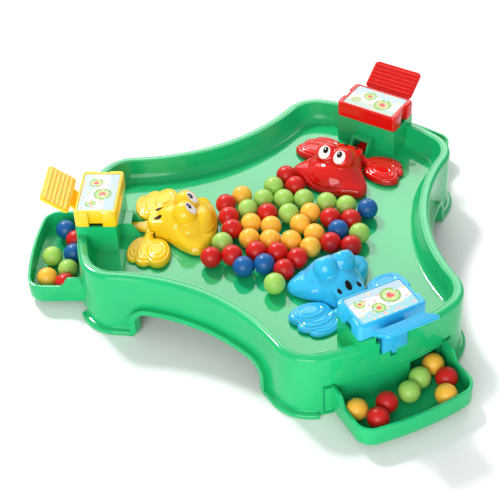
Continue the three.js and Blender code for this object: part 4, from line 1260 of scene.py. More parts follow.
def arm_profile():
    """The arm under the hood, from the tongue to the web."""
    return [
        (TONGUE_OUT - OVERRUN, ARM_LOW),
        (ARM_KNEE + OVERRUN, ARM_LOW),
        (WEB_IN, WEB_LOW),
        (WEB_IN + OVERRUN, WEB_LOW),
        (WEB_IN + OVERRUN, WEB_TOP),
        (WEB_IN, WEB_TOP),
        (ARM_KNEE, ARM_TOP),
        (TONGUE_OUT - OVERRUN, ARM_TOP),
    ]


def web_profile():
    """The web that joins arm, axle and stem."""
    return [
        (WEB_IN, WEB_LOW),
        (PIVOT_REACH + AXLE_RADIUS, STEM_LOW - AXLE_PLAY),
        (STEM_IN + WEB_LAP, STEM_LOW),
        (STEM_IN + WEB_LAP, WEB_TOP),
        (WEB_IN, WEB_TOP),
    ]


def stem_profile():
    """The stem in the slot of the corner's face, up to the paddle's root."""
    tilt = math.radians(PADDLE_TILT)
    sin, cos = PADDLE_THICK * math.sin(tilt), PADDLE_THICK * math.cos(tilt)
    out = STEM_IN + STEM_THICK
    profile = [(STEM_IN, STEM_LOW), (out, STEM_LOW), (out, STEM_TOP - STEM_THICK / 2)]
    profile += [(out + step, STEM_TOP + rise) for step, rise in STEM_BEND]
    profile += [(PADDLE_X + cos, PADDLE_Z + sin - cos * ROOT_SHARE)]
    profile += [(PADDLE_X - sin / 2, PADDLE_Z + PADDLE_THICK / 2), (STEM_IN, STEM_TOP)]
    return profile


def lever_solid(recipe, material):
    """A lever: paddle, stem, axle, web, arm and tongue in one moulding."""
    plate = edged_plate(
        0.0, PADDLE_LENGTH, PADDLE_HALF, PADDLE_ROUND, 0.0, PADDLE_THICK, PADDLE_FOOT, PADDLE_CROWN
    )
    tongue = rounded_rectangle(
        TONGUE_IN, TONGUE_OUT, -TONGUE_HALF, TONGUE_HALF, TONGUE_ROUND, SMALL_ARC_STEPS
    )
    keel_low, keel_high = STEM_LOW - KEEL_DEPTH, STEM_LOW + STEM_THICK
    keel = block(STEM_IN, STEM_IN + KEEL_THICK, -KEEL_HALF, KEEL_HALF, keel_low, keel_high)
    lever = solid(tilted(plate, PADDLE_TILT, PADDLE_X, PADDLE_Z))
    forms = [
        prism(tongue, ARM_LOW, ARM_TOP),
        side_plate(arm_profile(), ARM_HALF),
        side_plate(web_profile(), WEB_HALF),
        tube(AXLE_RADIUS, PIVOT_REACH, PIVOT_HEIGHT, AXLE_HALF),
        side_plate(stem_profile(), AXLE_HALF),
        keel,
    ]
    combine(lever, forms, "UNION")
    soften(lever, LEVER_SOFTNESS, segments=2, angle=LEVER_SHARP_ANGLE)
    combine(lever, [grip(recipe, material)], "UNION")
    return lever


# Frogs

FROG_FRONT = 48.1
FROG_LENGTH = 50.4
FROG_HALF = 31.0
FROG_LOW = 36.3
FROG_SKIRT = 12.5
FROG_WALL = 2.0
FROG_REAR_IN = 91.6
FROG_REAR_LOW = 42.9
# Plan from the jaw's middle to the back: share of the length, share of the half width
FROG_PLAN = [
    (0.0, 0.0),
    (0.02, 0.36),
    (0.1, 0.72),
    (0.2, 0.97),
    (0.31, 0.96),
    (0.45, 0.83),
    (0.58, 0.65),
    (0.72, 0.45),
    (0.88, 0.34),
    (0.97, 0.22),
    (1.0, 0.0),
]
# Levels of the skirt: share of its height, of the half width, and where front and back lie
FROG_LEVELS = [
    (0.0, 1.0, 0.0, 1.0),
    (0.3, 1.0, 0.005, 1.0),
    (0.5, 0.95, 0.02, 1.0),
    (0.65, 0.86, 0.05, 0.99),
    (0.8, 0.73, 0.1, 0.96),
    (1.0, 0.5, 0.2, 0.9),
]
# The room inside opens downwards, so it starts a little below the lowest level
FROG_OPEN_LEVEL = (-0.2, 1.0, 0.0, 1.0)
FROG_PLAN_STEPS = 5
FROG_ROOM_STEPS = 3
FROG_VOXEL = 0.5
FROG_SMOOTHING = 20

# Centres and radii of the forms that are melted together
SNOUT = (62.1, 0.0, 39.5)
SNOUT_RADII = (12.6, 19.0, 14.5)
DOME = (73.5, 0.0, 39.6)
DOME_RADII = (22.0, 17.4, 17.0)
HEAD = (67.0, 0.0, 44.5)
HEAD_RADII = (13.0, 20.5, 10.5)
BULGE = (70.0, 6.3, 55.5)
BULGE_RADII = (8.8, 8.8, 8.8)
LEG = (70.5, 20.0, 42.4)
LEG_RADII = (14.6, 4.0, 3.4)
LEG_TURN = 131.0
LEG_PITCH = -17.0

BACK_IN = 71.8
BACK_TOP = 53.0
BACK_LENGTH = 25.8
BACK_HALF = 12.6
BACK_ROUND = 4.5
BACK_TAPER = 0.007
BACK_TILT = -9.0
# Insets of the back's flat at heights below its top
BACK_LEVELS = ((0.0, -9.0), (0.0, -1.6), (0.4, -0.6), (1.4, 0.0))

# The mouth: how far back and to the sides it runs, its height, its rise and its groove
MOUTH_BACK = 60.0
MOUTH_HALF = 17.0
MOUTH_HEIGHT = 41.0
MOUTH_RISE = 3.2
MOUTH_RISE_HALF = 15.0
MOUTH_CURVE = 2.2
MOUTH_HALF_GAP = 1.8
MOUTH_FADE = 2.5
MOUTH_PROFILE = 1.5

EYE_VIEW = (-0.7, 0.0, 0.714)
EYE_UP = (1, 0, 1)
EYE_FACET = 6.6
FACET_HALF_LENGTH = 7.5
FACET_HALF_WIDTH = 16.0
FACET_DEPTH = 6.0
WHITE_RADII = (4.5, 5.6)
WHITE_LIFT = 0.14
PUPIL_RADII = (2.3, 2.8)
PUPIL_SHIFT = (1.3, -0.5, 1.3)
PUPIL_LIFT = 0.25
GLINT_RADII = (0.6, 0.8)
GLINT_SHIFT = (0.5, 0.6, 0.5)
GLINT_LIFT = 0.36
# Spots on each frog's back: place, and radii across it and along it
SPOTS = {
    "blue": [((89.6, 7.4), (2.6, 1.4)), ((89.6, -7.4), (2.6, 1.4)), ((88.3, 0.0), (3.6, 2.1))],
    "red": [((93.8, 4.6), (2.2, 1.3)), ((93.8, -4.6), (2.2, 1.3))],
    "yellow": [((88.8, 4.9), (3.1, 1.9)), ((88.8, -4.9), (3.1, 1.9))],
}
SPOT_HEIGHT = 48.0
SPOT_VIEW = (0.25, 0, 1)
SPOT_UP = (0, 1, 0)
SPOT_LIFT = 0.24

PATCH_RINGS = 6
PATCH_SIDES = 32
PATCH_SINK = 0.3
PATCH_EDGE_POWER = 6
PATCH_RAY = 30.0


def between(first, second, start, end, at):
    """A point on the line through two points, which is at the first at start and at the second at end."""
    return first.lerp(second, (at - start) / (end - start))


def smooth_loop(points, steps):
    """A closed Catmull-Rom curve through the points, with centripetal spacing."""
    count = len(points)
    result = []
    for i in range(count):
        near = [points[(i + k) % count] for k in (-1, 0, 1, 2)]
        knots = [0.0]
        for a, b in zip(near, near[1:]):
            knots.append(knots[-1] + (b - a).length ** 0.5)
        for s in range(steps):
            at = knots[1] + (knots[2] - knots[1]) * s / steps
            legs = [between(near[k], near[k + 1], knots[k], knots[k + 1], at) for k in range(3)]
            bends = [between(legs[k], legs[k + 1], knots[k], knots[k + 2], at) for k in range(2)]
            result.append(between(bends[0], bends[1], knots[1], knots[2], at))
    return result


def frog_plan(steps):
    mirrored = [(x, -y) for x, y in reversed(FROG_PLAN[1:-1])]
    return smooth_loop([Vector((x, -y)) for x, y in FROG_PLAN + mirrored], steps)


def frog_ring(plan, level, inset):
    height_share, width_share, front_share, back_share = level
    length = FROG_LENGTH - 2 * inset
    width = (FROG_HALF - inset) * width_share
    height = FROG_LOW + (FROG_SKIRT - inset) * height_share
    ring = []
    for p in plan:
        along = front_share + (back_share - front_share) * p.x
        ring.append((FROG_FRONT + inset + length * along, width * p.y, height))
    return ring


def frog_forms(inset):
    """Snout, head and dome, drawn in by the wall for the room inside."""
    return [
        ellipsoid(centre, [radius - inset for radius in radii])
        for centre, radii in ((SNOUT, SNOUT_RADII), (HEAD, HEAD_RADII), (DOME, DOME_RADII))
    ]


def back_plate():
    """The flat of the back, with a soft edge along each side, that falls towards the rear."""
    rings = []
    for inset, height in BACK_LEVELS:
        half = BACK_HALF - inset
        ring = rounded_rectangle(0.0, BACK_LENGTH - inset, -half, half, BACK_ROUND)
        rings.append([(x, y * (1.0 - BACK_TAPER * x), height) for x, y in ring])
    return tilted(loft(rings), BACK_TILT, BACK_IN, BACK_TOP)


def eye_facet():
    """What is planed off both bulges for the eyes: a slab square to the eyes' direction."""
    slab = block(
        -FACET_HALF_LENGTH, FACET_HALF_LENGTH, -FACET_HALF_WIDTH, FACET_HALF_WIDTH, 0.0, FACET_DEPTH
    )
    tilt = math.degrees(math.atan2(-EYE_VIEW[0], EYE_VIEW[2]))
    x = BULGE[0] + EYE_VIEW[0] * EYE_FACET
    z = BULGE[2] + EYE_VIEW[2] * EYE_FACET
    return tilted(slab, tilt, x, z)


def frog_skin():
    """The frog's outer skin, full inside."""
    body = solid(loft([frog_ring(frog_plan(FROG_PLAN_STEPS), level, 0.0) for level in FROG_LEVELS]))
    forms = frog_forms(0.0) + [back_plate()]
    for sign in (1, -1):
        forms.append(ellipsoid((BULGE[0], sign * BULGE[1], BULGE[2]), BULGE_RADII))
        forms.append(ellipsoid((LEG[0], sign * LEG[1], LEG[2]), LEG_RADII, sign * LEG_TURN, LEG_PITCH))
    combine(body, forms, "UNION")
    combine(body, [eye_facet()], "DIFFERENCE")
    melt(body, FROG_VOXEL, FROG_SMOOTHING)
    press_mouth(body)
    return body


def press_mouth(frog):
    """Presses the mouth into the snout: a line that rises towards both cheeks."""
    centre = Vector(SNOUT)
    deepest = bpy.context.scene.frog_game_details.mouth_depth / MM
    for vertex in frog.data.vertices:
        x, y, z = vertex.co
        if x > MOUTH_BACK or abs(y) > MOUTH_HALF:
            continue
        line = MOUTH_HEIGHT + MOUTH_RISE * (abs(y) / MOUTH_RISE_HALF) ** MOUTH_CURVE
        gap = abs(z - line) / MOUTH_HALF_GAP
        if gap < 1.0:
            ends = min(1.0, (MOUTH_HALF - abs(y)) / MOUTH_FADE)
            inwards = (centre - vertex.co).normalized()
            vertex.co += inwards * deepest * ends * (1 - gap**2) ** MOUTH_PROFILE


def frog_shell():
    """A frog's hollow shell, open below and over the tongue at the rear."""
    frog = frog_skin()
    plan = frog_plan(FROG_ROOM_STEPS)
    room = solid(loft([frog_ring(plan, level, FROG_WALL) for level in [FROG_OPEN_LEVEL] + FROG_LEVELS]))
    combine(room, frog_forms(FROG_WALL), "UNION")
    combine(room, [behind(FROG_REAR_IN, 0.0, FACE_REACH)], "DIFFERENCE")
    combine_objects(frog, [room], "DIFFERENCE")
    openings = [behind(FROG_REAR_IN, 0.0, FROG_REAR_LOW), behind(0.0, 0.0, FROG_LOW)]
    combine(frog, openings, "DIFFERENCE")
    return frog


def patch_faces():
    """Faces of a thin closed oval: a fan of rings above, one below, and the wall between their rims."""
    size = 1 + PATCH_RINGS * PATCH_SIDES
    faces = []
    for base, order in ((0, 1), (size, -1)):
        for i in range(PATCH_SIDES):
            j = (i + 1) % PATCH_SIDES
            faces.append((base, base + 1 + i, base + 1 + j)[::order])
            for r in range(PATCH_RINGS - 1):
                a = base + 1 + r * PATCH_SIDES
                b = a + PATCH_SIDES
                faces.append((a + i, b + i, b + j, a + j)[::order])
    rim = 1 + (PATCH_RINGS - 1) * PATCH_SIDES
    for i in range(PATCH_SIDES):
        j = (i + 1) % PATCH_SIDES
        faces.append((rim + i, size + rim + i, size + rim + j, rim + j))
    return faces


def patch(surface, centre, direction, up, radii, lift):
    """A thin oval laid on the frog's skin, seen along a direction."""
    view = Vector(direction).normalized()
    across = view.cross(Vector(up)).normalized()
    upwards = across.cross(view).normalized()
    tree = BVHTree.FromObject(surface, bpy.context.evaluated_depsgraph_get())
    start = Vector(centre) + view * PATCH_RAY

    def touch(a, b):
        origin = start + across * a + upwards * b
        hit = tree.ray_cast(origin, -view)[0]
        return hit if hit else origin - view * PATCH_RAY

    top = [touch(0, 0) + view * lift]
    for r in range(1, PATCH_RINGS + 1):
        share = r / PATCH_RINGS
        height = view * lift * (1 - share**PATCH_EDGE_POWER)
        for i in range(PATCH_SIDES):
            angle = 2 * math.pi * i / PATCH_SIDES
            a, b = radii[0] * share * math.cos(angle), radii[1] * share * math.sin(angle)
            top.append(touch(a, b) + height)
    low = [p - view * (lift + PATCH_SINK) for p in top]
    return solid(([tuple(p) for p in top + low], patch_faces()))


def merged(objects):
    """Joins working objects into one, without any boolean."""
    bm = bmesh.new()
    for obj in objects:
        bm.from_mesh(obj.data)
    mesh = bpy.data.meshes.new("work")
    bm.to_mesh(mesh)
    bm.free()
    discard(*objects)
    return working_object(mesh)


def eyes_on(shell):
    """White, pupil and glint of both eyes, each pair as one working object."""
    whites, pupils, glints = [], [], []
    view = Vector(EYE_VIEW)
    for sign in (1, -1):
        centre = Vector((BULGE[0], sign * BULGE[1], BULGE[2])) + view * EYE_FACET
        pupil = centre + Vector((PUPIL_SHIFT[0], PUPIL_SHIFT[1] * sign, PUPIL_SHIFT[2]))
        glint = pupil + Vector(GLINT_SHIFT)
        whites.append(patch(shell, centre, view, EYE_UP, WHITE_RADII, WHITE_LIFT))
        pupils.append(patch(shell, pupil, view, EYE_UP, PUPIL_RADII, PUPIL_LIFT))
        glints.append(patch(shell, glint, view, EYE_UP, GLINT_RADII, GLINT_LIFT))
    return merged(whites), merged(pupils), merged(glints)


def spots_on(shell, station):
    """The dark spots on a frog's back, as one working object."""
    spots = []
    for (x, y), radii in SPOTS[station]:
        spots.append(patch(shell, (x, y, SPOT_HEIGHT), SPOT_VIEW, SPOT_UP, radii, SPOT_LIFT))
    return merged(spots)


# Feet

FOOT_LOW = 36.2
YOKE_IN = 92.0
YOKE_OUT = 98.0
YOKE_HALF = 11.0
YOKE_ROUND = 2.0
YOKE_LOW = 40.2
YOKE_TOP = 42.0
ANKLE_REACH = 96.2
ANKLE_SIDE = 12.5
ANKLE_RADII = (4.0, 8.0, 5.0)
# Each toe's root, tip, half width and height over the foot's underside
TOES = (
    ((90.3, 13.9), (86.4, 43.6), 9.4, 6.0),
    ((95.2, 11.0), (97.4, 42.4), 8.6, 4.2),
    ((99.8, 10.0), (105.2, 37.6), 7.6, 2.9),
)
TOE_FULLNESS = 0.62
TOE_VOXEL = 0.45
TOE_SMOOTHING = 4
# Contour lines pressed into a toe: their places as shares of its radii, their depth and half width
TOE_LINES = (0.78, 0.48)
TOE_LINE_DEPTH = 0.45
TOE_LINE_HALF = 0.07
TOE_LINE_LOW = 1.0


def feet_solid():
    """Webbed feet: three long toes side by side on each side, on a yoke under the shell."""
    yoke = rounded_rectangle(YOKE_IN, YOKE_OUT, -YOKE_HALF, YOKE_HALF, YOKE_ROUND, SMALL_ARC_STEPS)
    feet = solid(prism(yoke, YOKE_LOW, YOKE_TOP))
    forms = []
    toes = []
    for sign in (1, -1):
        for (root_x, root_y), (tip_x, tip_y), half_width, rise in TOES:
            half_length = math.hypot(tip_x - root_x, tip_y - root_y) / 2
            turn = math.atan2((tip_y - root_y) * sign, tip_x - root_x)
            centre = Vector(((root_x + tip_x) / 2, sign * (root_y + tip_y) / 2, FOOT_LOW))
            radii = (half_length, half_width, rise)
            forms.append(ellipsoid(centre, radii, math.degrees(turn), fullness=TOE_FULLNESS))
            toes.append((centre, turn, radii))
        forms.append(ellipsoid((ANKLE_REACH, sign * ANKLE_SIDE, FOOT_LOW), ANKLE_RADII))
    combine(feet, forms, "UNION")
    combine(feet, [behind(0.0, 0.0, FOOT_LOW)], "DIFFERENCE")
    melt(feet, TOE_VOXEL, TOE_SMOOTHING)
    for vertex in feet.data.vertices:
        press_lines(vertex, toes)
    return feet


def press_lines(vertex, toes):
    """Presses nested contour lines into the toe that lies on top at this point."""
    if vertex.co.z < FOOT_LOW + TOE_LINE_LOW:
        return
    highest = -1.0
    share_there = None
    for centre, turn, (half_length, half_width, rise) in toes:
        offset = vertex.co - centre
        along = (offset.x * math.cos(turn) + offset.y * math.sin(turn)) / half_length
        across = (offset.y * math.cos(turn) - offset.x * math.sin(turn)) / half_width
        share = math.hypot(along, across)
        top = rise * max(0.0, 1.0 - share ** (2 / TOE_FULLNESS)) ** (TOE_FULLNESS / 2)
        if share < 1.0 and top > highest:
            highest = top
            share_there = share
    if share_there is None:
        return
    depths = [1.0 - ((share_there - place) / TOE_LINE_HALF) ** 2 for place in TOE_LINES]
    vertex.co.z -= TOE_LINE_DEPTH * max(0.0, *depths)


# Catch trays

CATCH_FRONT = 184.88
CATCH_HALF = 42.9
CATCH_LOW = 4.0
CATCH_WALL = 2.0
CATCH_FLOOR = 1.8
CATCH_RIM = 18.5
CATCH_SHOULDER = 26.0
CATCH_ROUND = 12.0
CATCH_FACE_STEPS = 20
CATCH_ROUND_STEPS = 12
# Insets of the outside and of the room near their floors, with steps up from them
CATCH_FOOT = ((1.6, 0.0), (0.7, 0.3), (0.2, 1.0), (0.0, 2.0))
CATCH_ROOM_FOOT = ((1.6, 0.0), (0.6, 0.4), (0.1, 1.4), (0.0, 2.5))
# Where the side walls start to fall from the shoulder, and where they reach the rim
CATCH_FALL = 150.5
CATCH_FALL_END = 158.0
CATCH_FALL_STEPS = 12
CATCH_SOFTNESS = 0.55
CATCH_SHARP_ANGLE = 50.0
TAB_IN = 41.0
TAB_OUT = 47.2
TAB_THICK = 1.8
TAB_SINK = 0.9


def catch_plan(inset, back):
    """Plan of the catch tray, drawn in by an inset; its inner side follows the corner's face."""
    middle = FACE_REACH - FACE_RADIUS
    inner = FACE_RADIUS + SLIDE_GAP - back
    outer = CATCH_FRONT - middle - inset
    side = CATCH_HALF - inset
    rounding = CATCH_ROUND - inset
    corner_x = middle + math.sqrt((outer - rounding) ** 2 - (side - rounding) ** 2)
    turn = math.atan2(side - rounding, corner_x - middle)
    reach = math.asin(side / inner)
    quarter = math.pi / 2
    plan = arc(middle, 0, inner, reach, -reach, CATCH_FACE_STEPS)
    plan += arc(corner_x, rounding - side, rounding, -quarter, -turn, CATCH_ROUND_STEPS)
    plan += arc(middle, 0, outer, -turn, turn, CATCH_FACE_STEPS)[1:-1]
    plan += arc(corner_x, side - rounding, rounding, turn, quarter, CATCH_ROUND_STEPS)
    return plan


def catch_form(levels, back):
    return loft([[(x, y, z) for x, y in catch_plan(inset, back)] for inset, z in levels])


def catch_cutaway():
    """What is taken off above the walls: they fall in an S from the shoulder to the rim."""
    middle = (CATCH_FALL + CATCH_FALL_END) / 2
    profile = [(CATCH_FALL, CATCH_SHOULDER)]
    for i in range(1, CATCH_FALL_STEPS + 1):
        s = i / CATCH_FALL_STEPS
        start = (1 - s) ** 3
        start_pull = 3 * s * (1 - s) ** 2
        end_pull = 3 * s * s * (1 - s)
        end = s**3
        x = start * CATCH_FALL + (start_pull + end_pull) * middle + end * CATCH_FALL_END
        profile.append((x, (start + start_pull) * CATCH_SHOULDER + (end_pull + end) * CATCH_RIM))
    out = CATCH_FRONT + OVERRUN
    high = CATCH_SHOULDER + OVERRUN
    profile += [(out, CATCH_RIM), (out, high), (CATCH_FALL, high)]
    return side_plate(profile, FACE_REACH)


def catch_tray_solid():
    """A catch tray with its two tabs, which slide into the corner's pockets."""
    levels = [(inset, CATCH_LOW + rise) for inset, rise in CATCH_FOOT]
    tray = solid(catch_form(levels + [(0.0, CATCH_SHOULDER)], 0.0))
    floor = CATCH_LOW + CATCH_FLOOR
    levels = [(CATCH_WALL + inset, floor + rise) for inset, rise in CATCH_ROOM_FOOT]
    room = catch_form(levels + [(CATCH_WALL, CATCH_SHOULDER + OVERRUN)], OVERRUN)
    combine(tray, [room, catch_cutaway()], "DIFFERENCE")
    soften(tray, CATCH_SOFTNESS, segments=3, angle=CATCH_SHARP_ANGLE)
    tab_top = CATCH_SHOULDER - CATCH_WALL
    tab = face_slab(TAB_IN, TAB_OUT, TAB_SINK - TAB_THICK, TAB_THICK, CATCH_LOW, tab_top)
    combine(tray, both_sides(tab), "UNION")
    return tray


# Marbles

MARBLE_RADIUS = 7.4
MARBLE_PITCH = 14.6
MARBLE_SIDES = 40
MARBLE_ROWS = 24
BOARD_LEVEL = PLAY_HEIGHT + GAP + MARBLE_RADIUS
CATCH_LEVEL = CATCH_LOW + CATCH_FLOOR + GAP + MARBLE_RADIUS
# Straight runs of touching marbles, as in the solids: colour, how many, the middle's place in
# marble radii from the hub, and the run's angle
BOARD_RUNS = [
    ("red", 2, 3.53, 5.43, -92),
    ("red", 3, -4.34, 3.37, -108),
    ("green", 3, 1.52, 3.13, -30),
    ("green", 2, 5.6, -0.09, -44),
    ("orange", 2, 1.88, -0.57, -148),
    ("orange", 2, 0.89, -3.79, -130),
    ("orange", 2, -2.23, 0.7, -42),
    ("orange", 3, -2.5, -1.69, -34),
    ("red", 2, 4.81, -2.27, -37),
    ("red", 2, -7.57, -1.6, -21),
    ("red", 2, -3.62, -3.14, -34),
    ("red", 2, -2.48, -5.75, -156),
    ("red", 2, 2.93, -5.6, -44),
    ("blue", 2, -5.53, -4.26, -19),
    ("green", 1, 1.63, 5.44, 0),
    ("orange", 1, -1.76, 5.64, 0),
    ("blue", 1, 7.82, -2.24, 0),
    ("green", 1, -2.26, 3.44, 0),
    ("red", 1, -0.88, 1.96, 0),
    ("green", 1, 0.88, 0.92, 0),
    ("blue", 1, 3.76, -3.65, 0),
    ("green", 1, -6.62, 0.15, 0),
    ("green", 1, 5.24, -5.07, 0),
    ("green", 1, -5.05, -7.45, 0),
]
# The same for the catch trays, in marble radii from the middle of the corner's face
CAUGHT_RUNS = {
    "blue": [
        ("orange", 1, 1.49, -4.5, 0),
        ("red", 2, 2.61, -2.61, 127),
        ("green", 2, 1.39, 1.38, 120),
        ("orange", 1, 0.04, 4.15, 0),
        ("red", 1, 2.05, 4.24, 0),
        ("orange", 1, 3.73, 3.11, 0),
    ],
    "yellow": [
        ("blue", 1, 2.53, -3.62, 0),
        ("red", 1, 1.28, -2, 0),
        ("green", 1, 3.22, 0.51, 0),
        ("blue", 1, 1.19, 0.03, 0),
        ("green", 1, 1.35, 2.47, 0),
        ("orange", 1, 3.19, 3.7, 0),
        ("red", 1, 1.32, 4.5, 0),
    ],
    "red": [("orange", 3, 2, 0.6, 97)],
}


def add_ball(nodes, links, inputs):
    """One marble."""
    ball = node_with(nodes, "GeometryNodeMeshUVSphere", {"Segments": MARBLE_SIDES, "Rings": MARBLE_ROWS})
    links.new(inputs["Radius"], ball.inputs["Radius"])
    return ball.outputs["Mesh"], (0, 0, 0)


def marble_run(recipe, count, place, angle, material):
    """A working object of touching marbles in a row about their place."""
    run = from_recipe(
        recipe, {"Count": count, "Pitch": MARBLE_PITCH, "Radius": MARBLE_RADIUS, "Material": material}
    )
    shift = Matrix.Translation((-(count - 1) * MARBLE_PITCH / 2, 0, 0))
    turn = Matrix.Rotation(math.radians(angle), 4, "Z")
    run.data.transform(Matrix.Translation(place) @ turn @ shift)
    return run


def place_marbles(recipe, prefix, runs, origin, level, body, station=None):
    """Makes a piece of each run, numbered by colour like the solids that they replace."""
    seen = {}
    for colour, count, x, y, angle in runs:
        seen[colour] = seen.get(colour, 0) + 1
        node = f"{prefix}_{colour}_{seen[colour]}"
        place = (origin + x * MARBLE_RADIUS, y * MARBLE_RADIUS, level)
        material = marble_plastic(colour)
        run = marble_run(recipe, count, place, angle, material)
        finished(run, f"marbles_{node}", material, body, [node], station, MARBLE_SHARP_ANGLE)


# What a user can change


def colour_property(name, pieces, default):
    return FloatVectorProperty(
        name=name, description=f"Colour of {pieces}", subtype="COLOR", size=3, default=default
    )


class FrogGameColours(PropertyGroup):
    """Colours of the plastics"""

    tray: colour_property("Tray", "the tray, the chutes and the catch trays", (0.012, 0.48, 0.165))
    blue: colour_property("Blue", "the blue corner", (0.03, 0.46, 0.78))
    red: colour_property("Red", "the red corner", (0.7, 0.008, 0.005))
    yellow: colour_property("Yellow", "the yellow corner", (0.95, 0.6, 0.014))
    marble_red: colour_property("Red marbles", "the red marbles", (0.6, 0.01, 0.008))
    marble_orange: colour_property("Orange marbles", "the orange marbles", (0.92, 0.49, 0.05))
    marble_green: colour_property("Green marbles", "the green marbles", (0.36, 0.62, 0.12))
    marble_blue: colour_property("Blue marbles", "the blue marbles", (0.008, 0.11, 0.35))


class FrogGameDetails(PropertyGroup):
    """Small sizes of the mouldings"""

    ribs: IntProperty(name="Ribs", description="Ribs on each paddle", default=6, min=1, max=6)
    rib_radius: FloatProperty(
        name="Rib radius", description="Radius of a paddle's rib", default=0.00095, unit="LENGTH"
    )
    mouth_depth: FloatProperty(
        name="Mouth depth", description="Depth of the frogs' mouth line", default=0.0015, unit="LENGTH"
    )
    cover_softness: FloatProperty(
        name="Cover softness", description="Rounding of the covers' edges", default=0.00025, unit="LENGTH"
    )


class FrogGameStage(PropertyGroup):
    """Camera and lamps"""

    azimuth: FloatProperty(
        name="Azimuth",
        description="Camera's angle round the game",
        default=math.radians(-25.0),
        subtype="ANGLE",
    )
    elevation: FloatProperty(
        name="Elevation",
        description="Camera's angle over the table",
        default=math.radians(39.94),
        subtype="ANGLE",
    )
    roll: FloatProperty(
        name="Roll", description="Camera's roll", default=math.radians(-3.07), subtype="ANGLE"
    )
    distance: FloatProperty(
        name="Distance", description="From the camera to its target", default=0.9406, unit="LENGTH"
    )
    lens: FloatProperty(
        name="Lens", description="Focal length of the camera", default=97.43, unit="CAMERA"
    )
    key: FloatProperty(
        name="Key lamp", description="Strength of the distant lamp behind the game", default=2.0
    )
    soft_box: FloatProperty(
        name="Soft box", description="Power of the wide lamp behind", default=15.0, unit="POWER"
    )
    front_lamp: FloatProperty(
        name="Front lamp", description="Power of the lamp in front", default=19.0, unit="POWER"
    )
    fill: FloatProperty(name="Fill", description="Strength of the surrounding light", default=0.46)


# Camera, lamps and floor

# The camera's target, in millimetres about the hub
CAMERA_TARGET = (-34.23, -12.2, 40.0)
SENSOR_WIDTH = 36.0
NEAREST_SEEN = 0.05
KEY_DIRECTION = (-0.09, 1.0, 1.12)
KEY_SOFTNESS = 9.0
SOFT_BOX_PLACE = (0.55, 1.25, 0.95)
SOFT_BOX_WIDTH = 2.2
SOFT_BOX_HEIGHT = 0.9
FRONT_LAMP_PLACE = (-0.9, -1.1, 0.6)
FRONT_LAMP_SIZE = 1.1
FILL_WHITE = (1.0, 1.0, 1.0, 1.0)
FLOOR_REACH = 9000.0
FLOOR_THICK = 6.0
FLOOR_GAP = 0.3
FLOOR_WHITE = (0.93, 0.93, 0.93, 1.0)
FLOOR_ROUGHNESS = 0.6


def add_camera(scene, stage):
    azimuth, elevation, roll = stage.azimuth, stage.elevation, stage.roll
    level = math.cos(elevation)
    back = Vector((math.sin(azimuth) * level, -math.cos(azimuth) * level, math.sin(elevation)))
    right = (-back).cross(Vector((0, 0, 1))).normalized()
    up = right.cross(-back).normalized()
    rolled_right = right * math.cos(roll) + up * math.sin(roll)
    rolled_up = up * math.cos(roll) - right * math.sin(roll)
    x, y, z = CAMERA_TARGET
    target = Vector((x * MM, (HUB_Y + y) * MM, z * MM))
    matrix = Matrix((rolled_right, rolled_up, back)).transposed().to_4x4()
    matrix.translation = target + back * stage.distance
    camera = bpy.data.objects.new("camera", bpy.data.cameras.new("camera"))
    camera.data.lens = stage.lens
    camera.data.sensor_width = SENSOR_WIDTH
    camera.data.clip_start = NEAREST_SEEN
    camera.matrix_world = matrix
    scene.collection.objects.link(camera)
    scene.camera = camera


def add_lamp(name, kind, place):
    """A lamp at its place that looks at the middle of the play surface; returns its settings."""
    lamp = bpy.data.lights.new(name, kind)
    holder = bpy.data.objects.new(name, lamp)
    holder.location = place
    middle = Vector((0, HUB_Y * MM, PLAY_HEIGHT * MM))
    holder.rotation_euler = (middle - Vector(place)).to_track_quat("-Z", "Y").to_euler()
    bpy.context.scene.collection.objects.link(holder)
    return lamp


def add_lamps(stage):
    key = add_lamp("key lamp", "SUN", KEY_DIRECTION)
    key.energy = stage.key
    key.angle = math.radians(KEY_SOFTNESS)
    box = add_lamp("soft box", "AREA", SOFT_BOX_PLACE)
    box.shape = "RECTANGLE"
    box.size = SOFT_BOX_WIDTH
    box.size_y = SOFT_BOX_HEIGHT
    box.energy = stage.soft_box
    front = add_lamp("front lamp", "AREA", FRONT_LAMP_PLACE)
    front.size = FRONT_LAMP_SIZE
    front.energy = stage.front_lamp


def add_fill(scene, stage):
    """Even light from all round."""
    world = bpy.data.worlds.new("studio")
    world.use_nodes = True
    background = world.node_tree.nodes["Background"]
    background.inputs["Color"].default_value = FILL_WHITE
    background.inputs["Strength"].default_value = stage.fill
    scene.world = world


def add_floor():
    reach = FLOOR_REACH
    floor = solid(block(-reach, reach, -reach, reach, -FLOOR_THICK, -FLOOR_GAP))
    floor.data.transform(Matrix.Scale(MM, 4))
    floor.name = "floor"
    material, nodes, _ = new_material("pale floor")
    shader = nodes["Principled BSDF"]
    shader.inputs["Base Color"].default_value = FLOOR_WHITE
    shader.inputs["Roughness"].default_value = FLOOR_ROUGHNESS
    paint(floor, material)


# Operators: one for the stage, and one for each piece or group of like pieces


class FROGGAME_OT_stage(Operator):
    """Camera at the photograph's angle, pale floor and soft light"""

    bl_idname = "froggame.stage"
    bl_label = "Stage"

    def execute(self, context):
        stage = context.scene.frog_game_stage
        add_camera(context.scene, stage)
        add_lamps(stage)
        add_fill(context.scene, stage)
        add_floor()
        context.scene.view_settings.view_transform = "Standard"
        return {"FINISHED"}


class FROGGAME_OT_tray(Operator):
    """The moulded tray with its rim, arches, pedestals and hoods"""

    bl_idname = "froggame.tray"
    bl_label = "Tray"

    def execute(self, context):
        green = tray_green()
        finished(
            moulded_tray(), "moulded_tray", green, "base", ["tray"], sharp=TRAY_SHARP_ANGLE
        )
        for station in STATIONS:
            paint(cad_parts[f"chute_{station}"], green)
        return {"FINISHED"}


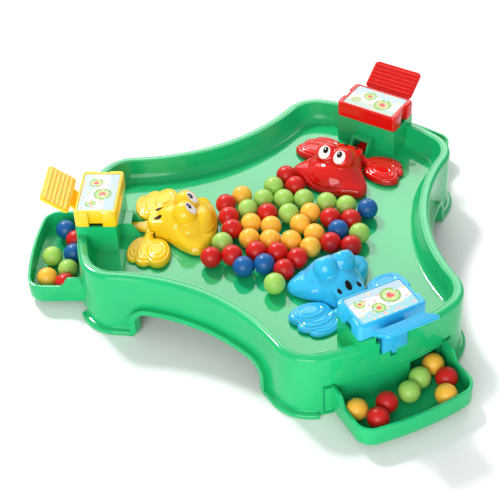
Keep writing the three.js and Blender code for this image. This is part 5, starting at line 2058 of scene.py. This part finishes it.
class FROGGAME_OT_covers(Operator):
    """The three pedestal covers and the stickers in their recesses"""

    bl_idname = "froggame.covers"
    bl_label = "Covers and stickers"

    def execute(self, context):
        for station in STATIONS:
            material = station_plastic(station)
            name, slot = f"pedestal_cover_{station}", f"frog_{station}"
            finished(cover_solid(), name, material, "base", [f"cover_{station}"], station)
            paint(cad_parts[f"label_{station}"], sticker_material(station))
        return {"FINISHED"}


class FROGGAME_OT_levers(Operator):
    """The three levers with their ribbed finger paddles"""

    bl_idname = "froggame.levers"
    bl_label = "Levers"

    def execute(self, context):
        recipe = row_recipe("grip ribs", ("Count", "Pitch", "Width", "Radius", "Material"), add_rib)
        for station in STATIONS:
            material = station_plastic(station)
            lever = lever_solid(recipe, material)
            name, body, slot = f"paddle_lever_{station}", f"snapper_{station}", f"frog_{station}"
            finished(lever, name, material, body, [f"lever_{station}"], station)
        return {"FINISHED"}


class FROGGAME_OT_frogs(Operator):
    """The three frog shells with eyes and back spots"""

    bl_idname = "froggame.frogs"
    bl_label = "Frogs"

    def execute(self, context):
        white, black, brown = eye_white(), eye_black(), spot_brown()
        skin = frog_shell()
        for station in STATIONS:
            body = f"snapper_{station}"
            shell = copied(skin)
            context.view_layer.update()
            whites, pupils, glints = eyes_on(shell)
            finished(whites, f"eye_whites_{station}", white, body, station=station)
            finished(pupils, f"eye_pupils_{station}", black, body, station=station)
            finished(glints, f"eye_glints_{station}", white, body, station=station)
            ink = black if station == "blue" else brown
            finished(spots_on(shell, station), f"back_spots_{station}", ink, body, station=station)
            name, material, slot = f"frog_shell_{station}", station_plastic(station), f"frog_{station}"
            finished(shell, name, material, body, [f"frog_{station}"], station, SKIN_SHARP_ANGLE)
        discard(skin)
        return {"FINISHED"}


class FROGGAME_OT_feet(Operator):
    """The webbed feet behind the frogs"""

    bl_idname = "froggame.feet"
    bl_label = "Feet"

    def execute(self, context):
        pair = feet_solid()
        for station in STATIONS:
            feet = copied(pair)
            name, body, slot = f"webbed_feet_{station}", f"snapper_{station}", f"frog_{station}"
            material = station_plastic(station)
            finished(feet, name, material, body, [f"feet_{station}"], station, SKIN_SHARP_ANGLE)
        discard(pair)
        return {"FINISHED"}


class FROGGAME_OT_catch_trays(Operator):
    """The catch trays outside the corners"""

    bl_idname = "froggame.catch_trays"
    bl_label = "Catch trays"

    def execute(self, context):
        material = catcher_green()
        for station in STATIONS:
            name, body = f"marble_catcher_{station}", f"catcher_{station}"
            replaced = [f"catch_tray_{station}"]
            finished(catch_tray_solid(), name, material, body, replaced, station)
        return {"FINISHED"}


class FROGGAME_OT_marbles(Operator):
    """All marbles, in play and caught"""

    bl_idname = "froggame.marbles"
    bl_label = "Marbles"

    def execute(self, context):
        recipe = row_recipe("marble run", ("Count", "Pitch", "Radius", "Material"), add_ball)
        place_marbles(recipe, "board", BOARD_RUNS, 0.0, BOARD_LEVEL, "marbles_in_play")
        for station, runs in CAUGHT_RUNS.items():
            body = f"catcher_{station}"
            place_marbles(recipe, f"caught_{station}", runs, FACE_REACH, CATCH_LEVEL, body, station)
        return {"FINISHED"}


class FROGGAME_PT_panel(Panel):
    """The game's settings and operators"""

    bl_label = "Frog game"
    bl_idname = "FROGGAME_PT_panel"
    bl_space_type = "VIEW_3D"
    bl_region_type = "UI"
    bl_category = "Frog Game"

    def draw(self, context):
        scene = context.scene
        for group in (scene.frog_game_colours, scene.frog_game_details, scene.frog_game_stage):
            column = self.layout.column()
            for name in group.__annotations__:
                column.prop(group, name)
        for operator in OPERATORS:
            self.layout.operator(operator.bl_idname)


GROUPS = (FrogGameColours, FrogGameDetails, FrogGameStage)
OPERATORS = (
    FROGGAME_OT_stage,
    FROGGAME_OT_tray,
    FROGGAME_OT_covers,
    FROGGAME_OT_levers,
    FROGGAME_OT_frogs,
    FROGGAME_OT_feet,
    FROGGAME_OT_catch_trays,
    FROGGAME_OT_marbles,
)


def register():
    for cls in GROUPS + OPERATORS + (FROGGAME_PT_panel,):
        bpy.utils.register_class(cls)
    bpy.types.Scene.frog_game_colours = PointerProperty(type=FrogGameColours)
    bpy.types.Scene.frog_game_details = PointerProperty(type=FrogGameDetails)
    bpy.types.Scene.frog_game_stage = PointerProperty(type=FrogGameStage)


def unregister():
    del bpy.types.Scene.frog_game_stage
    del bpy.types.Scene.frog_game_details
    del bpy.types.Scene.frog_game_colours
    for cls in reversed(GROUPS + OPERATORS + (FROGGAME_PT_panel,)):
        bpy.utils.unregister_class(cls)


def main():
    register()
    bpy.ops.froggame.stage()
    bpy.ops.froggame.tray()
    bpy.ops.froggame.covers()
    bpy.ops.froggame.levers()
    bpy.ops.froggame.frogs()
    bpy.ops.froggame.feet()
    bpy.ops.froggame.catch_trays()
    bpy.ops.froggame.marbles()


if __name__ == "__main__":
    main()
